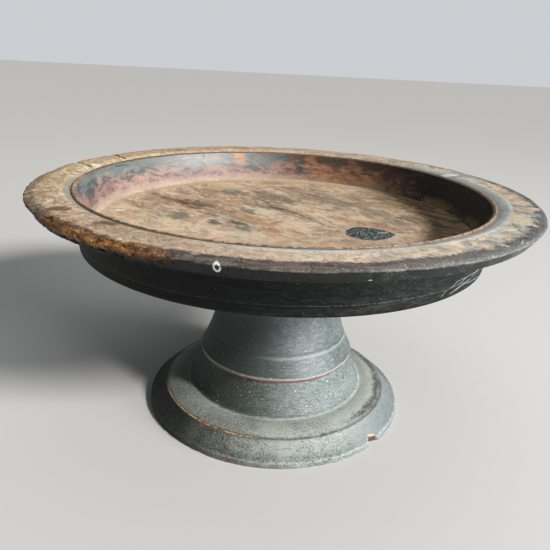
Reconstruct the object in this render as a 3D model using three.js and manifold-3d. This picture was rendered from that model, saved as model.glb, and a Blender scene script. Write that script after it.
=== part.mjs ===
// Turned and lacquered pedestal dish: a wide rimmed dish on a trumpet stem and a stepped, spreading foot.
// Millimetres, +Z up. The origin is on the turning axis, at the level that the foot stands on.
import * as THREE from 'three';
import { mergeVertices } from 'three/addons/utils/BufferGeometryUtils.js';
import Module from 'manifold-3d';

const wasm = await Module();
wasm.setup();

// Fits between the pieces
const seatGap = 0.3;               // between faces that rest on each other
const boreClearance = 0.4;         // round a tenon, dowel or peg in its bore
const endClearance = 0.6;          // past the end of a tenon, dowel or peg in a blind bore
const patchClearance = 0.35;       // round the filler patch in its recess

// Foot, heights above the floor
const footHeight = 52.5;           // floor to the seat under the stem's collar
const footEdgeRadius = 130;        // bottom edge of the skirt
const footEdgeThickness = 5;       // upright edge of the skirt
const footEdgeLean = 1;            // how far that edge leans in at its top
const bandOuterRadius = 112.7;     // groove between the band and the skirt
const bandOuterHeight = 19.3;
const bandInnerRadius = 90.5;      // bead between the band and the cove
const bandInnerHeight = 22.8;
const bandCrown = 1.3;             // how far the band bulges above a straight slope
const grooveDepth = 1.2;
const grooveWidth = 1.6;
const skirtDip = 1.2;              // how far the skirt's slope is hollowed
const drumBaseRadius = 83.5;       // where the drum meets the cove
const coveReach = 2.5;             // how far out the cove steers from there
const drumBaseHeight = 30;
const drumTopRadius = 74.6;
const drumHollow = 1.8;            // how far the drum's side is waisted
const hollowRadius = 118;          // mouth of the turned hollow under the foot
const hollowCeilingRadius = 100;
const hollowDepth = 11.5;
const hollowShoulder = 5;          // height of the hollow's side before it slopes in
const hollowDraft = 1;             // how far that side leans in

// Chip out of the foot's edge
const chipAngle = -41.5;           // degrees from +X
const chipWidth = 17;
const chipDepth = 6.5;
const chipHeight = 9;
const chipOutline = [              // shares of half its width and of its depth
  [0.8, 0.35],
  [0.1, 0.75],
  [-0.45, 1],
  [-0.85, 0.55],
];

// Stem
const stemHeight = 118.4;          // seat on the foot to seat under the dish
const collarRadius = 77.1;
const collarHeight = 5.9;          // top of the collar's lip
const collarUndercut = 1.4;        // the lip's lower edge is this much inside the collar
const lipRoundHeight = 2;          // where the lip stands out most
const lipRound = 0.7;              // how far its side steers outwards there
const waistRadius = 60;
const waistHeight = 72;
const coneTurnHeight = 38;         // height that the cone's side steers towards
const neckRadius = 66;             // stem under the dish
const neckTurnHeight = 106;
const ringGrooveHeight = 24.5;     // faint turned groove above the collar
const ringGrooveDepth = 0.7;
const ringGrooveWidth = 1.6;

// Tenons of the stem
const lowerTenonRadius = 46;
const lowerTenonLength = 38;
const upperTenonRadius = 42;
const upperTenonLength = 11;
const tenonChamfer = 1.5;

// Dish, heights above its own underside
const floorThickness = 20;
const wellDepth = 33.2;            // floor of the well to the rim's top
const floorRadius = 172;           // where the well's floor starts to curve up
const floorEdgeRadius = 176.5;
const floorEdgeRise = 1.6;
const wallTurnRadius = 184.5;      // the wall of the well steers through here
const wallTurnHeight = 17;         // above the floor
const lipInnerRadius = 187.4;
const lipRadius = 189.2;           // crest of the bead round the well
const lipDrop = 1.3;               // crest of the bead below the rim's top
const beadHalfWidth = 0.9;
const beadRound = 1.2;             // height of its rounded inner side
const lipGrooveRadius = 191.6;     // dark groove outside the bead
const lipGrooveDepth = 3.4;        // below the rim's top
const coveRadius = 200;            // outer edge of the cove round the bead
const coveHollow = 0.8;            // how far the cove sags below a straight slope
const rimFlatRadius = 221.5;       // outer edge of the rim's flat top
const rimRadius = 230;             // crest of the rim
const rimCrestDrop = 3.6;
const rimEdgeDrop = 12.4;          // lower edge of the rim's side
const rimEdgeRadius = 223.7;
const rimUnderRadius = 198;        // where the rim's underside meets the body
const rimUnderDrop = 18;
const bodyRadius = 190.5;          // body just under the rim
const bodyTurnDrop = 24;
const ridgeRadius = 189;           // ridge round the bottom of the body
const ridgeHeight = 10;
const ridgeWaist = 1.6;            // the band under the ridge is this much smaller
const undersideRadius = 183;       // outer edge of the flat underside
const undersideRound = 2.4;        // height of the rounded bottom edge

// Dowels between stem and dish
const dowelCount = 3;
const dowelRadius = 4;
const dowelCircle = 53;
const dowelInStem = 14;
const dowelInDish = 9;

// Pegs through the drum into the lower tenon
const pegCount = 3;
const pegRadius = 3.2;
const pegInTenon = 15;
const pegDrop = 10;                // from the seat down to the pegs
const pegSink = 0.8;               // their trimmed ends lie this far inside the drum's side
const pegTurn = 90;                // degrees from +X to the first peg

// Filler patch in the floor of the well, blunt at its left end and pointed at its right
const patchX = 79.4;
const patchY = -42.3;
const patchLength = 48;
const patchTurn = 10;              // degrees from +X to its long way
const patchBluntReach = 17;        // its edges steer this far left of its middle, then this far right
const patchTaperReach = 9;
const patchBackBlunt = 32;         // how far back its back edge steers on the left, then on the right
const patchBackTaper = 28;
const patchFrontSteer = 26;        // how far forward its front edge steers
const patchDepth = 2.4;
const patchProud = 0.25;           // how far it stands above the floor

// Facets
const dishSides = 96;
const stemSides = 56;
const footSides = 72;
const dowelSides = 16;
const chamfer = 0.8;               // on the ends of dowels and pegs
const overrun = 2;                 // how far a cutting shape runs past the face that it opens

const stemSeat = footHeight + seatGap;
const dishSeat = stemSeat + stemHeight + seatGap;

const degrees = (angle) => angle * Math.PI / 180;

const lacquer = new THREE.MeshStandardMaterial({ color: 0x2b302e, roughness: 0.62, metalness: 0 });
const wornWood = new THREE.MeshStandardMaterial({ color: 0xa98c70, roughness: 0.66, metalness: 0 });
const bamboo = new THREE.MeshStandardMaterial({ color: 0xb39a63, roughness: 0.7, metalness: 0 });
const filler = new THREE.MeshStandardMaterial({ color: 0x39443f, roughness: 0.8, metalness: 0 });

// Geometry with shared vertices and no collapsed triangles, as a boolean needs it
function welded(geometry) {
  const bare = geometry.clone();
  bare.deleteAttribute('normal');
  bare.deleteAttribute('uv');
  const merged = mergeVertices(bare, 1e-4);
  const kept = [];
  const index = merged.index.array;
  for (let i = 0; i < index.length; i += 3) {
    const [a, b, c] = [index[i], index[i + 1], index[i + 2]];
    if (a !== b && b !== c && c !== a) kept.push(a, b, c);
  }
  merged.setIndex(kept);
  return merged;
}

function toSolid(geometry) {
  const merged = welded(geometry);
  return new wasm.Manifold(new wasm.Mesh({
    numProp: 3,
    vertProperties: new Float32Array(merged.attributes.position.array),
    triVerts: new Uint32Array(merged.index.array),
  }));
}

function toGeometry(solid) {
  const mesh = solid.getMesh();
  const geometry = new THREE.BufferGeometry();
  geometry.setAttribute('position', new THREE.BufferAttribute(new Float32Array(mesh.vertProperties), 3));
  geometry.setIndex(new THREE.BufferAttribute(new Uint32Array(mesh.triVerts), 1));
  geometry.computeVertexNormals();
  return geometry;
}

// Turned shape from an outline of radius and height, drawn up the outside and back down the inside
function turned(outline, sides, curveSteps) {
  const geometry = new THREE.LatheGeometry(outline.getPoints(curveSteps), sides);
  geometry.rotateX(Math.PI / 2);
  return geometry;
}

function cutFrom(body, cutters) {
  let solid = toSolid(body);
  for (const cutter of cutters) solid = solid.subtract(toSolid(cutter));
  return toGeometry(solid);
}

// Round pin with chamfered ends, from its start along +Z
function pin(radius, length) {
  const outline = new THREE.Path();
  outline.moveTo(0, 0);
  outline.lineTo(radius - chamfer, 0);
  outline.lineTo(radius, chamfer);
  outline.lineTo(radius, length - chamfer);
  outline.lineTo(radius - chamfer, length);
  outline.lineTo(0, length);
  return turned(outline, dowelSides, 1);
}

// Plain round bore for a pin, from its blind end along +Z
function bore(radius, length) {
  const geometry = new THREE.CylinderGeometry(radius, radius, length, dowelSides);
  geometry.rotateX(Math.PI / 2);
  geometry.translate(0, 0, length / 2);
  return geometry;
}

// Radius of a curve that climbs all the way, at a height
function radiusAt(curve, height) {
  let low = 0;
  let high = 1;
  for (let i = 0; i < 30; i++) {
    const middle = (low + high) / 2;
    if (curve.getPoint(middle).y < height) low = middle;
    else high = middle;
  }
  return curve.getPoint(low).x;
}

// Foot: drum, cove, band and skirt outside, hollow and socket inside
const socketRadius = lowerTenonRadius + boreClearance;

function drumCurve() {
  const middleRadius = (drumBaseRadius + drumTopRadius) / 2;
  return new THREE.QuadraticBezierCurve(
    new THREE.Vector2(drumBaseRadius, drumBaseHeight),
    new THREE.Vector2(middleRadius - drumHollow, (drumBaseHeight + footHeight) / 2),
    new THREE.Vector2(drumTopRadius, footHeight));
}

function footOutline() {
  const outline = new THREE.Path();
  const edgeTopRadius = footEdgeRadius - footEdgeLean;
  outline.moveTo(socketRadius, hollowDepth);
  outline.lineTo(hollowCeilingRadius, hollowDepth);
  outline.lineTo(hollowRadius - hollowDraft, hollowShoulder);
  outline.lineTo(hollowRadius, 0);
  outline.lineTo(footEdgeRadius, 0);
  outline.lineTo(edgeTopRadius, footEdgeThickness);
  outline.quadraticCurveTo(
    (edgeTopRadius + bandOuterRadius) / 2 - skirtDip, (footEdgeThickness + bandOuterHeight) / 2 - skirtDip,
    bandOuterRadius + grooveWidth / 2, bandOuterHeight - grooveDepth);
  outline.lineTo(bandOuterRadius - grooveWidth / 2, bandOuterHeight - grooveDepth / 2);
  outline.quadraticCurveTo(
    (bandOuterRadius + bandInnerRadius) / 2, (bandOuterHeight + bandInnerHeight) / 2 + 2 * bandCrown,
    bandInnerRadius, bandInnerHeight);
  outline.quadraticCurveTo(drumBaseRadius + coveReach, bandInnerHeight, drumBaseRadius, drumBaseHeight);
  outline.curves.push(drumCurve());
  outline.currentPoint.set(drumTopRadius, footHeight);
  outline.lineTo(socketRadius, footHeight);
  outline.lineTo(socketRadius, hollowDepth);
  return outline;
}

// Angles of the pegs round the drum
const pegAngles = Array.from({ length: pegCount }, (_, i) => degrees(pegTurn + i * 360 / pegCount));
const pegInnerRadius = lowerTenonRadius - pegInTenon;
const pegOuterRadius = radiusAt(drumCurve(), footHeight - pegDrop) - pegSink;

// Anything that lies along +Z is laid out from the axis at this angle and height
function radial(geometry, angle, start, height) {
  geometry.rotateY(Math.PI / 2);
  geometry.translate(start, 0, height);
  geometry.rotateZ(angle);
  return geometry;
}

function pegBore(angle) {
  const start = pegInnerRadius - endClearance;
  return radial(bore(pegRadius + boreClearance, drumBaseRadius + overrun - start), angle, start, footHeight - pegDrop);
}

// Ragged notch where wood has split off the skirt's edge
function chipCutter() {
  const half = chipWidth / 2;
  const reach = footEdgeRadius + overrun;
  const shape = new THREE.Shape();
  shape.moveTo(reach, -half);
  shape.lineTo(reach, half);
  for (const [across, deep] of chipOutline) shape.lineTo(footEdgeRadius - chipDepth * deep, half * across);
  const geometry = new THREE.ExtrudeGeometry(shape, { depth: chipHeight + overrun, bevelEnabled: false });
  geometry.translate(0, 0, -overrun);
  geometry.rotateZ(degrees(chipAngle));
  return geometry;
}

function footGeometry() {
  return cutFrom(turned(footOutline(), footSides, 3), [chipCutter(), ...pegAngles.map(pegBore)]);
}

// Stem: tenon, collar, cone, waist, neck and upper tenon
function coneCurve() {
  return new THREE.QuadraticBezierCurve(
    new THREE.Vector2(collarRadius, collarHeight),
    new THREE.Vector2(waistRadius, coneTurnHeight),
    new THREE.Vector2(waistRadius, waistHeight));
}

function stemOutline() {
  const outline = new THREE.Path();
  outline.moveTo(0, -lowerTenonLength);
  outline.lineTo(lowerTenonRadius - tenonChamfer, -lowerTenonLength);
  outline.lineTo(lowerTenonRadius, tenonChamfer - lowerTenonLength);
  outline.lineTo(lowerTenonRadius, 0);
  outline.lineTo(collarRadius - collarUndercut, 0);
  outline.quadraticCurveTo(collarRadius + lipRound, lipRoundHeight, collarRadius, collarHeight);
  outline.curves.push(coneCurve());
  outline.currentPoint.set(waistRadius, waistHeight);
  outline.quadraticCurveTo(waistRadius, neckTurnHeight, neckRadius, stemHeight);
  outline.lineTo(upperTenonRadius, stemHeight);
  outline.lineTo(upperTenonRadius, stemHeight + upperTenonLength - tenonChamfer);
  outline.lineTo(upperTenonRadius - tenonChamfer, stemHeight + upperTenonLength);
  outline.lineTo(0, stemHeight + upperTenonLength);
  return outline;
}

// Ring of triangular section that cuts the faint groove above the collar
function ringGrooveCutter() {
  const radius = radiusAt(coneCurve(), ringGrooveHeight);
  const outline = new THREE.Path();
  outline.moveTo(radius - ringGrooveDepth, ringGrooveHeight);
  outline.lineTo(radius + overrun, ringGrooveHeight - ringGrooveWidth);
  outline.lineTo(radius + overrun, ringGrooveHeight + ringGrooveWidth);
  outline.lineTo(radius - ringGrooveDepth, ringGrooveHeight);
  return turned(outline, stemSides, 1);
}

const dowelAngles = Array.from({ length: dowelCount }, (_, i) => degrees(i * 360 / dowelCount));

function upright(geometry, angle, start) {
  geometry.translate(dowelCircle, 0, start);
  geometry.rotateZ(angle);
  return geometry;
}

function stemGeometry() {
  const dowelBoreLength = dowelInStem + endClearance + overrun;
  const dowelBores = dowelAngles.map((angle) =>
    upright(bore(dowelRadius + boreClearance, dowelBoreLength), angle, stemHeight + overrun - dowelBoreLength));
  const pegBores = pegAngles.map((angle) => pegBore(angle).translate(0, 0, -stemSeat));
  return cutFrom(turned(stemOutline(), stemSides, 4), [ringGrooveCutter(), ...dowelBores, ...pegBores]);
}

// Dish: underside, body and rim outside, lip and well inside, with the stem's socket below
const rimTop = floorThickness + wellDepth;

function dishOutline() {
  const outline = new THREE.Path();
  const socket = upperTenonRadius + boreClearance;
  const socketDepth = upperTenonLength + endClearance;
  outline.moveTo(0, socketDepth);
  outline.lineTo(socket, socketDepth);
  outline.lineTo(socket, 0);
  outline.lineTo(undersideRadius, 0);
  outline.quadraticCurveTo(ridgeRadius - ridgeWaist, 0, ridgeRadius - ridgeWaist, undersideRound);
  outline.lineTo(ridgeRadius - ridgeWaist, ridgeHeight - ridgeWaist);
  outline.lineTo(ridgeRadius, ridgeHeight);
  outline.lineTo(bodyRadius, rimTop - bodyTurnDrop);
  outline.quadraticCurveTo(bodyRadius, rimTop - rimUnderDrop, rimUnderRadius, rimTop - rimUnderDrop);
  outline.lineTo(rimEdgeRadius, rimTop - rimEdgeDrop);
  outline.lineTo(rimRadius, rimTop - rimCrestDrop);
  outline.quadraticCurveTo(rimRadius, rimTop, rimFlatRadius, rimTop);
  outline.lineTo(coveRadius, rimTop);
  outline.quadraticCurveTo(
    (coveRadius + lipGrooveRadius) / 2 - coveHollow, rimTop - lipGrooveDepth / 2 - coveHollow,
    lipGrooveRadius, rimTop - lipGrooveDepth);
  outline.lineTo(lipRadius + beadHalfWidth, rimTop - lipDrop);
  outline.lineTo(lipRadius, rimTop - lipDrop);
  outline.lineTo(lipInnerRadius, rimTop - lipDrop - beadRound);
  outline.quadraticCurveTo(
    wallTurnRadius, floorThickness + wallTurnHeight,
    floorEdgeRadius, floorThickness + floorEdgeRise);
  outline.lineTo(floorRadius, floorThickness);
  outline.lineTo(0, floorThickness);
  return outline;
}

// Boat shape of the filler patch, grown by a clearance, from z = 0 up
function patchShape(grown, height) {
  const half = patchLength / 2;
  const shape = new THREE.Shape();
  shape.moveTo(-half, 0);
  shape.bezierCurveTo(-patchBluntReach, -patchFrontSteer, patchTaperReach, -patchFrontSteer, half, 0);
  shape.bezierCurveTo(patchTaperReach, patchBackTaper, -patchBluntReach, patchBackBlunt, -half, 0);
  const geometry = new THREE.ExtrudeGeometry(shape, { depth: height, bevelEnabled: false, curveSegments: 12 });
  geometry.scale(1 + grown / half, 1 + grown / half, 1);
  geometry.rotateZ(degrees(patchTurn));
  geometry.translate(patchX, patchY, 0);
  return geometry;
}

function dishGeometry() {
  const dowelBoreLength = dowelInDish + endClearance + overrun;
  const dowelBores = dowelAngles.map((angle) =>
    upright(bore(dowelRadius + boreClearance, dowelBoreLength), angle, -overrun));
  const recess = patchShape(patchClearance, patchDepth + seatGap + overrun);
  recess.translate(0, 0, floorThickness - patchDepth - seatGap);
  return cutFrom(turned(dishOutline(), dishSides, 3), [recess, ...dowelBores]);
}

const group = new THREE.Group();

function add(name, geometry, material, height) {
  const mesh = new THREE.Mesh(geometry, material);
  mesh.name = name;
  mesh.position.z = height;
  group.add(mesh);
}

add('foot', footGeometry(), lacquer, 0);
add('stem', stemGeometry(), lacquer, stemSeat);
add('dish', dishGeometry(), wornWood, dishSeat);
add('floor_patch', patchShape(0, patchDepth + patchProud), filler, dishSeat + floorThickness - patchDepth);

dowelAngles.forEach((angle, i) => {
  const dowel = upright(pin(dowelRadius, dowelInStem + seatGap + dowelInDish), angle, 0);
  add(`neck_dowel_${i + 1}`, dowel, bamboo, stemSeat + stemHeight - dowelInStem);
});

pegAngles.forEach((angle, i) => {
  const peg = radial(pin(pegRadius, pegOuterRadius - pegInnerRadius), angle, pegInnerRadius, 0);
  add(`collar_peg_${i + 1}`, peg, bamboo, footHeight - pegDrop);
});

export default group;
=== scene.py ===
import math
import bmesh
import bpy
import numpy as np
from mathutils import Matrix, Vector, noise


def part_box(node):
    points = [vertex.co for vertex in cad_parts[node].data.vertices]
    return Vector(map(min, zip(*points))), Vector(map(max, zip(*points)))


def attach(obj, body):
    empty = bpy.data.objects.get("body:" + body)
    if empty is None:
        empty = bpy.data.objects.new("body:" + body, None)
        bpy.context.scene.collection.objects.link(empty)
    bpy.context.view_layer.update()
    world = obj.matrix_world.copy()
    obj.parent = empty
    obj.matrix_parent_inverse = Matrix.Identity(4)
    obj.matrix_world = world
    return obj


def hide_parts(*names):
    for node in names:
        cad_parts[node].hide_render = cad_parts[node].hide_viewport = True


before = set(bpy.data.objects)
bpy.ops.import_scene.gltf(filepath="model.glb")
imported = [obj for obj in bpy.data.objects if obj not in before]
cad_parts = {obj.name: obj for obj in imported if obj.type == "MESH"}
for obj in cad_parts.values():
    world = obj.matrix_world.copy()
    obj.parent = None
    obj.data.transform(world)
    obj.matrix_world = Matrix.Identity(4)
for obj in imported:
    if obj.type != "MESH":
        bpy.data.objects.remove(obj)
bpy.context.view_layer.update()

print("pedestal dish: frame loaded")

# Camera at the photograph's viewing angle
camera = {
    "place": (0.0, -0.538, 0.336),
    "yaw": -0.49,      # degrees, turned right of straight ahead
    "pitch": 20.83,    # degrees, looking down
    "roll": 2.89,      # degrees, the view leans clockwise
    "lens": 37.62,     # mm on a 36 mm sensor
}


def aimCamera():
    yaw, pitch, roll = (math.radians(camera[key]) for key in ("yaw", "pitch", "roll"))
    ahead = Vector((math.sin(yaw) * math.cos(pitch), math.cos(yaw) * math.cos(pitch), -math.sin(pitch)))
    right = Vector((math.cos(yaw), -math.sin(yaw), 0.0))
    up = right.cross(ahead)
    leaned = math.cos(roll) * right + math.sin(roll) * up
    upright = -math.sin(roll) * right + math.cos(roll) * up
    data = bpy.data.cameras.new("viewCamera")
    data.lens = camera["lens"]
    data.sensor_width = 36.0
    data.clip_start = 0.01
    data.clip_end = 30.0
    body = bpy.data.objects.new("viewCamera", data)
    turn = Matrix((leaned, upright, -ahead)).transposed()
    body.matrix_world = Matrix.Translation(Vector(camera["place"])) @ turn.to_4x4()
    bpy.context.scene.collection.objects.link(body)
    bpy.context.scene.camera = body


aimCamera()
bpy.context.scene.view_settings.view_transform = "Standard"

# Studio: pale floor, a high and a low light on the front right like one tall window, a weak one overhead
studio = {
    "floorHalf": 12.0,
    "floorColour": (0.60, 0.59, 0.57),
    "worldColour": (0.90, 0.94, 0.98),
    "worldStrength": 0.17,
    "backdropStrength": 0.66,
    "highTowards": -32.0,    # degrees round from +X
    "highRise": 32.0,        # degrees above the floor
    "highSoft": 10.0,        # degrees across
    "highStrength": 4.6,
    "highTint": (1.0, 0.985, 0.96),
    "lowPlace": (1.72, -1.00, 0.42),
    "lowSize": (1.0, 0.55),
    "lowPower": 42.0,
    "lowTint": (0.96, 0.985, 1.0),
    "topPlace": (0.10, 0.20, 1.9),
    "topSize": (1.6, 1.6),
    "topPower": 5.0,
    "topTint": (0.96, 0.98, 1.0),
}


def softLight(name, place, size, power, tint):
    data = bpy.data.lights.new(name, "AREA")
    data.shape = "RECTANGLE"
    data.size = size[0]
    data.size_y = size[1]
    data.energy = power
    data.color = tint
    placeLamp(name, data, place)


def sunLight(name, azimuth, rise, soft, strength, tint):
    data = bpy.data.lights.new(name, "SUN")
    data.angle = math.radians(soft)
    data.energy = strength
    data.color = tint
    turn = math.radians(azimuth)
    flat = 2 * math.cos(math.radians(rise))
    height = 2 * math.sin(math.radians(rise))
    placeLamp(name, data, (flat * math.cos(turn), flat * math.sin(turn), height))


def placeLamp(name, data, place):
    lamp = bpy.data.objects.new(name, data)
    lamp.location = place
    aim = Vector((0.0, 0.0, 0.12)) - Vector(place)
    lamp.rotation_euler = aim.to_track_quat("-Z", "Y").to_euler()
    bpy.context.scene.collection.objects.link(lamp)


# A value, colour or vector in a node tree, so that masks can be written as sums and products
class Field:
    def __init__(self, socket):
        self.socket = socket
        self.tree = socket.id_data

    def __add__(self, other):
        return maths("ADD", self, other)

    def __sub__(self, other):
        return maths("SUBTRACT", self, other)

    def __rsub__(self, other):
        return maths("SUBTRACT", other, self)

    def __mul__(self, other):
        return maths("MULTIPLY", self, other)

    def __abs__(self):
        return maths("ABSOLUTE", self)


def feed(tree, socket, value):
    if isinstance(value, Field):
        tree.links.new(value.socket, socket)
    elif socket.type == "RGBA" and len(value) == 3:
        socket.default_value = (*value, 1.0)
    else:
        socket.default_value = value


def treeOf(values):
    return next(value.tree for value in values if isinstance(value, Field))


# Every input is a number, a colour or a field, and at least one is a field
def put(kind, inputs, **settings):
    tree = treeOf(inputs.values())
    node = tree.nodes.new(kind)
    for key, value in settings.items():
        setattr(node, key, value)
    for key, value in inputs.items():
        feed(tree, node.inputs[key], value)
    return node


def out(node, key=0):
    return Field(node.outputs[key])


def maths(operation, *values):
    return out(put("ShaderNodeMath", dict(enumerate(values)), operation=operation))


def vectors(operation, *values):
    node = put("ShaderNodeVectorMath", dict(enumerate(values)), operation=operation)
    return out(node, "Value" if operation in ("LENGTH", "DOT_PRODUCT", "DISTANCE") else 0)


def scaled(vector, factor):
    return out(put("ShaderNodeVectorMath", {0: vector, "Scale": factor}, operation="SCALE"))


def joined(x, y, z):
    return out(put("ShaderNodeCombineXYZ", {0: x, 1: y, 2: z}))


def span(value, low, high, toLow=0.0, toHigh=1.0):
    inputs = {0: value, 1: low, 2: high, 3: toLow, 4: toHigh}
    return out(put("ShaderNodeMapRange", inputs, interpolation_type="SMOOTHSTEP"))


def mixed(mask, first, second):
    return out(put("ShaderNodeMix", {0: mask, 6: first, 7: second}, data_type="RGBA"), 2)


def speckle(vector, scale, detail=3.0, rough=0.55, twist=0.0):
    inputs = {"Vector": vector, "Scale": scale, "Detail": detail, "Roughness": rough, "Distortion": twist}
    return out(put("ShaderNodeTexNoise", inputs), "Fac")


def stretched(vector, scale, turn=0.0):
    inputs = {"Vector": vector, "Scale": scale, "Rotation": (0.0, 0.0, turn)}
    return out(put("ShaderNodeMapping", inputs, vector_type="TEXTURE"))


def drift(vector, scale, detail, reach):
    cloud = put("ShaderNodeTexNoise", {"Vector": vector, "Scale": scale, "Detail": detail})
    return scaled(vectors("SUBTRACT", out(cloud, "Color"), (0.5, 0.5, 0.5)), reach)


def wandering(place, scale, reach):
    return (speckle(place, scale, 6.0, 0.65) - 0.5) * reach


def larger(first, second):
    return maths("MAXIMUM", first, second)


def socketKind(default):
    if isinstance(default, float):
        return "Float"
    return "Color" if default and len(default) == 4 else "Vector"


# Makes a node group from a function, once; calling the function then puts the group in a material
def shared(name, outputs=(("mask", "Float"),), **inputs):
    group = bpy.data.node_groups.new(name, "ShaderNodeTree")
    for label, default in inputs.items():
        kind = "NodeSocket" + socketKind(default)
        socket = group.interface.new_socket(label, in_out="INPUT", socket_type=kind)
        if default:
            socket.default_value = default
    for label, kind in outputs:
        group.interface.new_socket(label, in_out="OUTPUT", socket_type="NodeSocket" + kind)
    given = group.nodes.new("NodeGroupInput").outputs
    results = group.nodes.new("NodeGroupOutput").inputs

    def placed(*values, **named):
        chosen = {**dict(zip(inputs, values)), **named}
        tree = treeOf(chosen.values())
        node = tree.nodes.new("ShaderNodeGroup")
        node.node_tree = group
        for label, value in chosen.items():
            feed(tree, node.inputs[label], value)
        fields = {label: out(node, label) for label, kind in outputs}
        return fields if len(fields) > 1 else fields["mask"]

    def make(build):
        made = build(*(Field(given[label]) for label in inputs))
        made = made if isinstance(made, tuple) else (made,)
        for (label, kind), field in zip(outputs, made):
            group.links.new(field.socket, results[label])
        return placed

    return make


grainTurn = math.radians(-44.0)      # the dish's grain runs back left to front right
unrolledRadius = 0.19                # metres, where a turned face is laid out flat for scratches
vectorOutputs = [(label, "Vector") for label in ("compass", "lathe", "unrolled")]


# Where a point lies on the turning: radius, height, compass direction, a vector for marks left by the lathe
# and its place on the turned face laid out flat
@shared("turnedPlace", (("radius", "Float"), ("height", "Float"), *vectorOutputs), place=None, sweep=0.05)
def turnedPlace(place, sweep):
    x, y, z = (Field(socket) for socket in put("ShaderNodeSeparateXYZ", {0: place}).outputs)
    flat = joined(x, y, 0.0)
    radius = vectors("LENGTH", flat)
    compass = vectors("NORMALIZE", flat)
    lathe = vectors("ADD", scaled(compass, sweep), joined(0.0, 0.0, z - radius))
    return radius, z, compass, lathe, joined(maths("ARCTAN2", y, x) * unrolledRadius, 0.0, z)


# A sector of the turning round a compass direction
@shared("sector", compass=None, direction=(1.0, 0.0, 0.0), start=0.0, full=0.7, wobble=0.0)
def sector(compass, direction, start, full, wobble):
    return span(vectors("DOT_PRODUCT", compass, direction) + wobble, start, full)


# A ring of the turning between two radii, with a ragged edge
@shared("ring", radius=0.1, inner=0.1, outer=0.12, soft=0.002, wobble=0.0)
def ring(radius, inner, outer, soft, wobble):
    pushed = radius + wobble
    return span(pushed, inner - soft, inner + soft) * span(pushed, outer - soft, outer + soft, 1.0, 0.0)


# Long grain of a slab sawn through: fibres, streaks and broad figure
@shared("slabGrain", (("colour", "Color"), ("height", "Float"), ("streak", "Float")), place=None,
        dark=(0.1, 0.06, 0.04, 1.0), middle=(0.3, 0.2, 0.13, 1.0), pale=(0.55, 0.42, 0.3, 1.0), contrast=1.0)
def slabGrain(place, dark, middle, pale, contrast):
    bent = vectors("ADD", place, drift(place, 13.0, 3.0, 0.012))
    fibre = speckle(stretched(bent, (3.0, 1.0, 1.0), grainTurn), 520.0, 4.0, 0.75, 0.3)
    streak = speckle(stretched(bent, (2.2, 1.0, 1.0), grainTurn), 105.0, 6.0, 0.72, 0.8)
    figure = speckle(stretched(bent, (1.5, 1.0, 1.0), grainTurn), 34.0, 7.0, 0.66, 1.2)
    blend = fibre * 0.24 + streak * 0.34 + figure * 0.42
    spread = (blend - 0.5) * contrast + 0.5
    colour = mixed(span(spread, 0.34, 0.5), dark, middle)
    return mixed(span(spread, 0.48, 0.64), colour, pale), blend, streak


# Short worn strokes along the grain: amount is the share they cover
@shared("grainStrokes", place=None, scale=120.0, long=4.0, amount=0.3, soft=0.022)
def grainStrokes(place, scale, long, amount, soft):
    apart = joined(0.0, 0.0, scale * 0.37)
    bent = vectors("ADD", vectors("ADD", place, drift(place, 24.0, 3.0, 0.012)), apart)
    value = speckle(stretched(bent, joined(long, 1.0, 1.0), grainTurn), scale, 7.0, 0.68, 0.9)
    edge = amount * -0.24 + 0.62
    return span(value, edge - soft, edge + soft)


# Ragged islands where a coat has worn away: cover is the share that is gone
@shared("wornAway", place=None, scale=60.0, cover=0.5, ragged=0.5, soft=0.04)
def wornAway(place, scale, cover, ragged, soft):
    fine = speckle(place, scale * 9.0, 4.0, 0.7)
    value = speckle(place, scale, 6.0, 0.62, 0.6) + (fine - 0.5) * ragged * 0.5
    edge = 0.86 - cover * 0.72
    return span(value, edge - soft, edge + soft)


# Pale specks of dust and tiny knocks: amount is the share of cells that hold one
@shared("paleSpecks", place=None, scale=300.0, amount=0.2, size=0.25)
def paleSpecks(place, scale, amount, size):
    cells = put("ShaderNodeTexVoronoi", {"Vector": place, "Scale": scale})
    chance = out(put("ShaderNodeSeparateColor", {0: out(cells, "Color")}))
    reach = size * (chance * 2.0 + 0.5)
    return maths("LESS_THAN", chance, amount) * span(out(cells, "Distance"), reach * 0.5, reach, 1.0, 0.0)


# A crack along a straight line between two points, wavering a little
@shared("crackLine", place=None, start=None, end=None, width=0.001, waver=0.003)
def crackLine(place, start, end, width, waver):
    offset = vectors("SUBTRACT", vectors("ADD", place, drift(place, 60.0, 4.0, waver)), start)
    line = vectors("SUBTRACT", end, start)
    share = maths("DIVIDE", vectors("DOT_PRODUCT", offset, line), vectors("DOT_PRODUCT", line, line))
    share = out(put("ShaderNodeClamp", {0: share}))
    taper = width * span(share, 0.0, 0.25, 0.5, 1.0)
    return span(vectors("DISTANCE", offset, scaled(line, share)), taper * 0.35, taper, 1.0, 0.0)


# A soft-edged oval stain
@shared("stain", place=None, centre=None, size=(0.02, 0.02, 0.02), ragged=0.5, soft=0.3)
def stain(place, centre, size, ragged, soft):
    away = vectors("LENGTH", vectors("DIVIDE", vectors("SUBTRACT", place, centre), size))
    return span((speckle(place, 120.0, 5.0, 0.65) - 0.5) * ragged + away, 1.0 - soft, 1.0, 1.0, 0.0)


print("pedestal dish: shader groups ready")


def startMaterial(name):
    material = bpy.data.materials.new(name)
    material.use_nodes = True
    return material, out(material.node_tree.nodes.new("ShaderNodeTexCoord"), "Object")


def finishMaterial(material, colour, roughness, relief, strength, distance=0.001, specular=0.5):
    tree = material.node_tree
    shader = tree.nodes["Principled BSDF"]
    shader.inputs["Specular IOR Level"].default_value = specular
    bump = put("ShaderNodeBump", {"Height": relief, "Strength": strength, "Distance": distance})
    for key, field in (("Base Color", colour), ("Roughness", roughness), ("Normal", out(bump))):
        feed(tree, shader.inputs[key], field)
    return material


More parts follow.
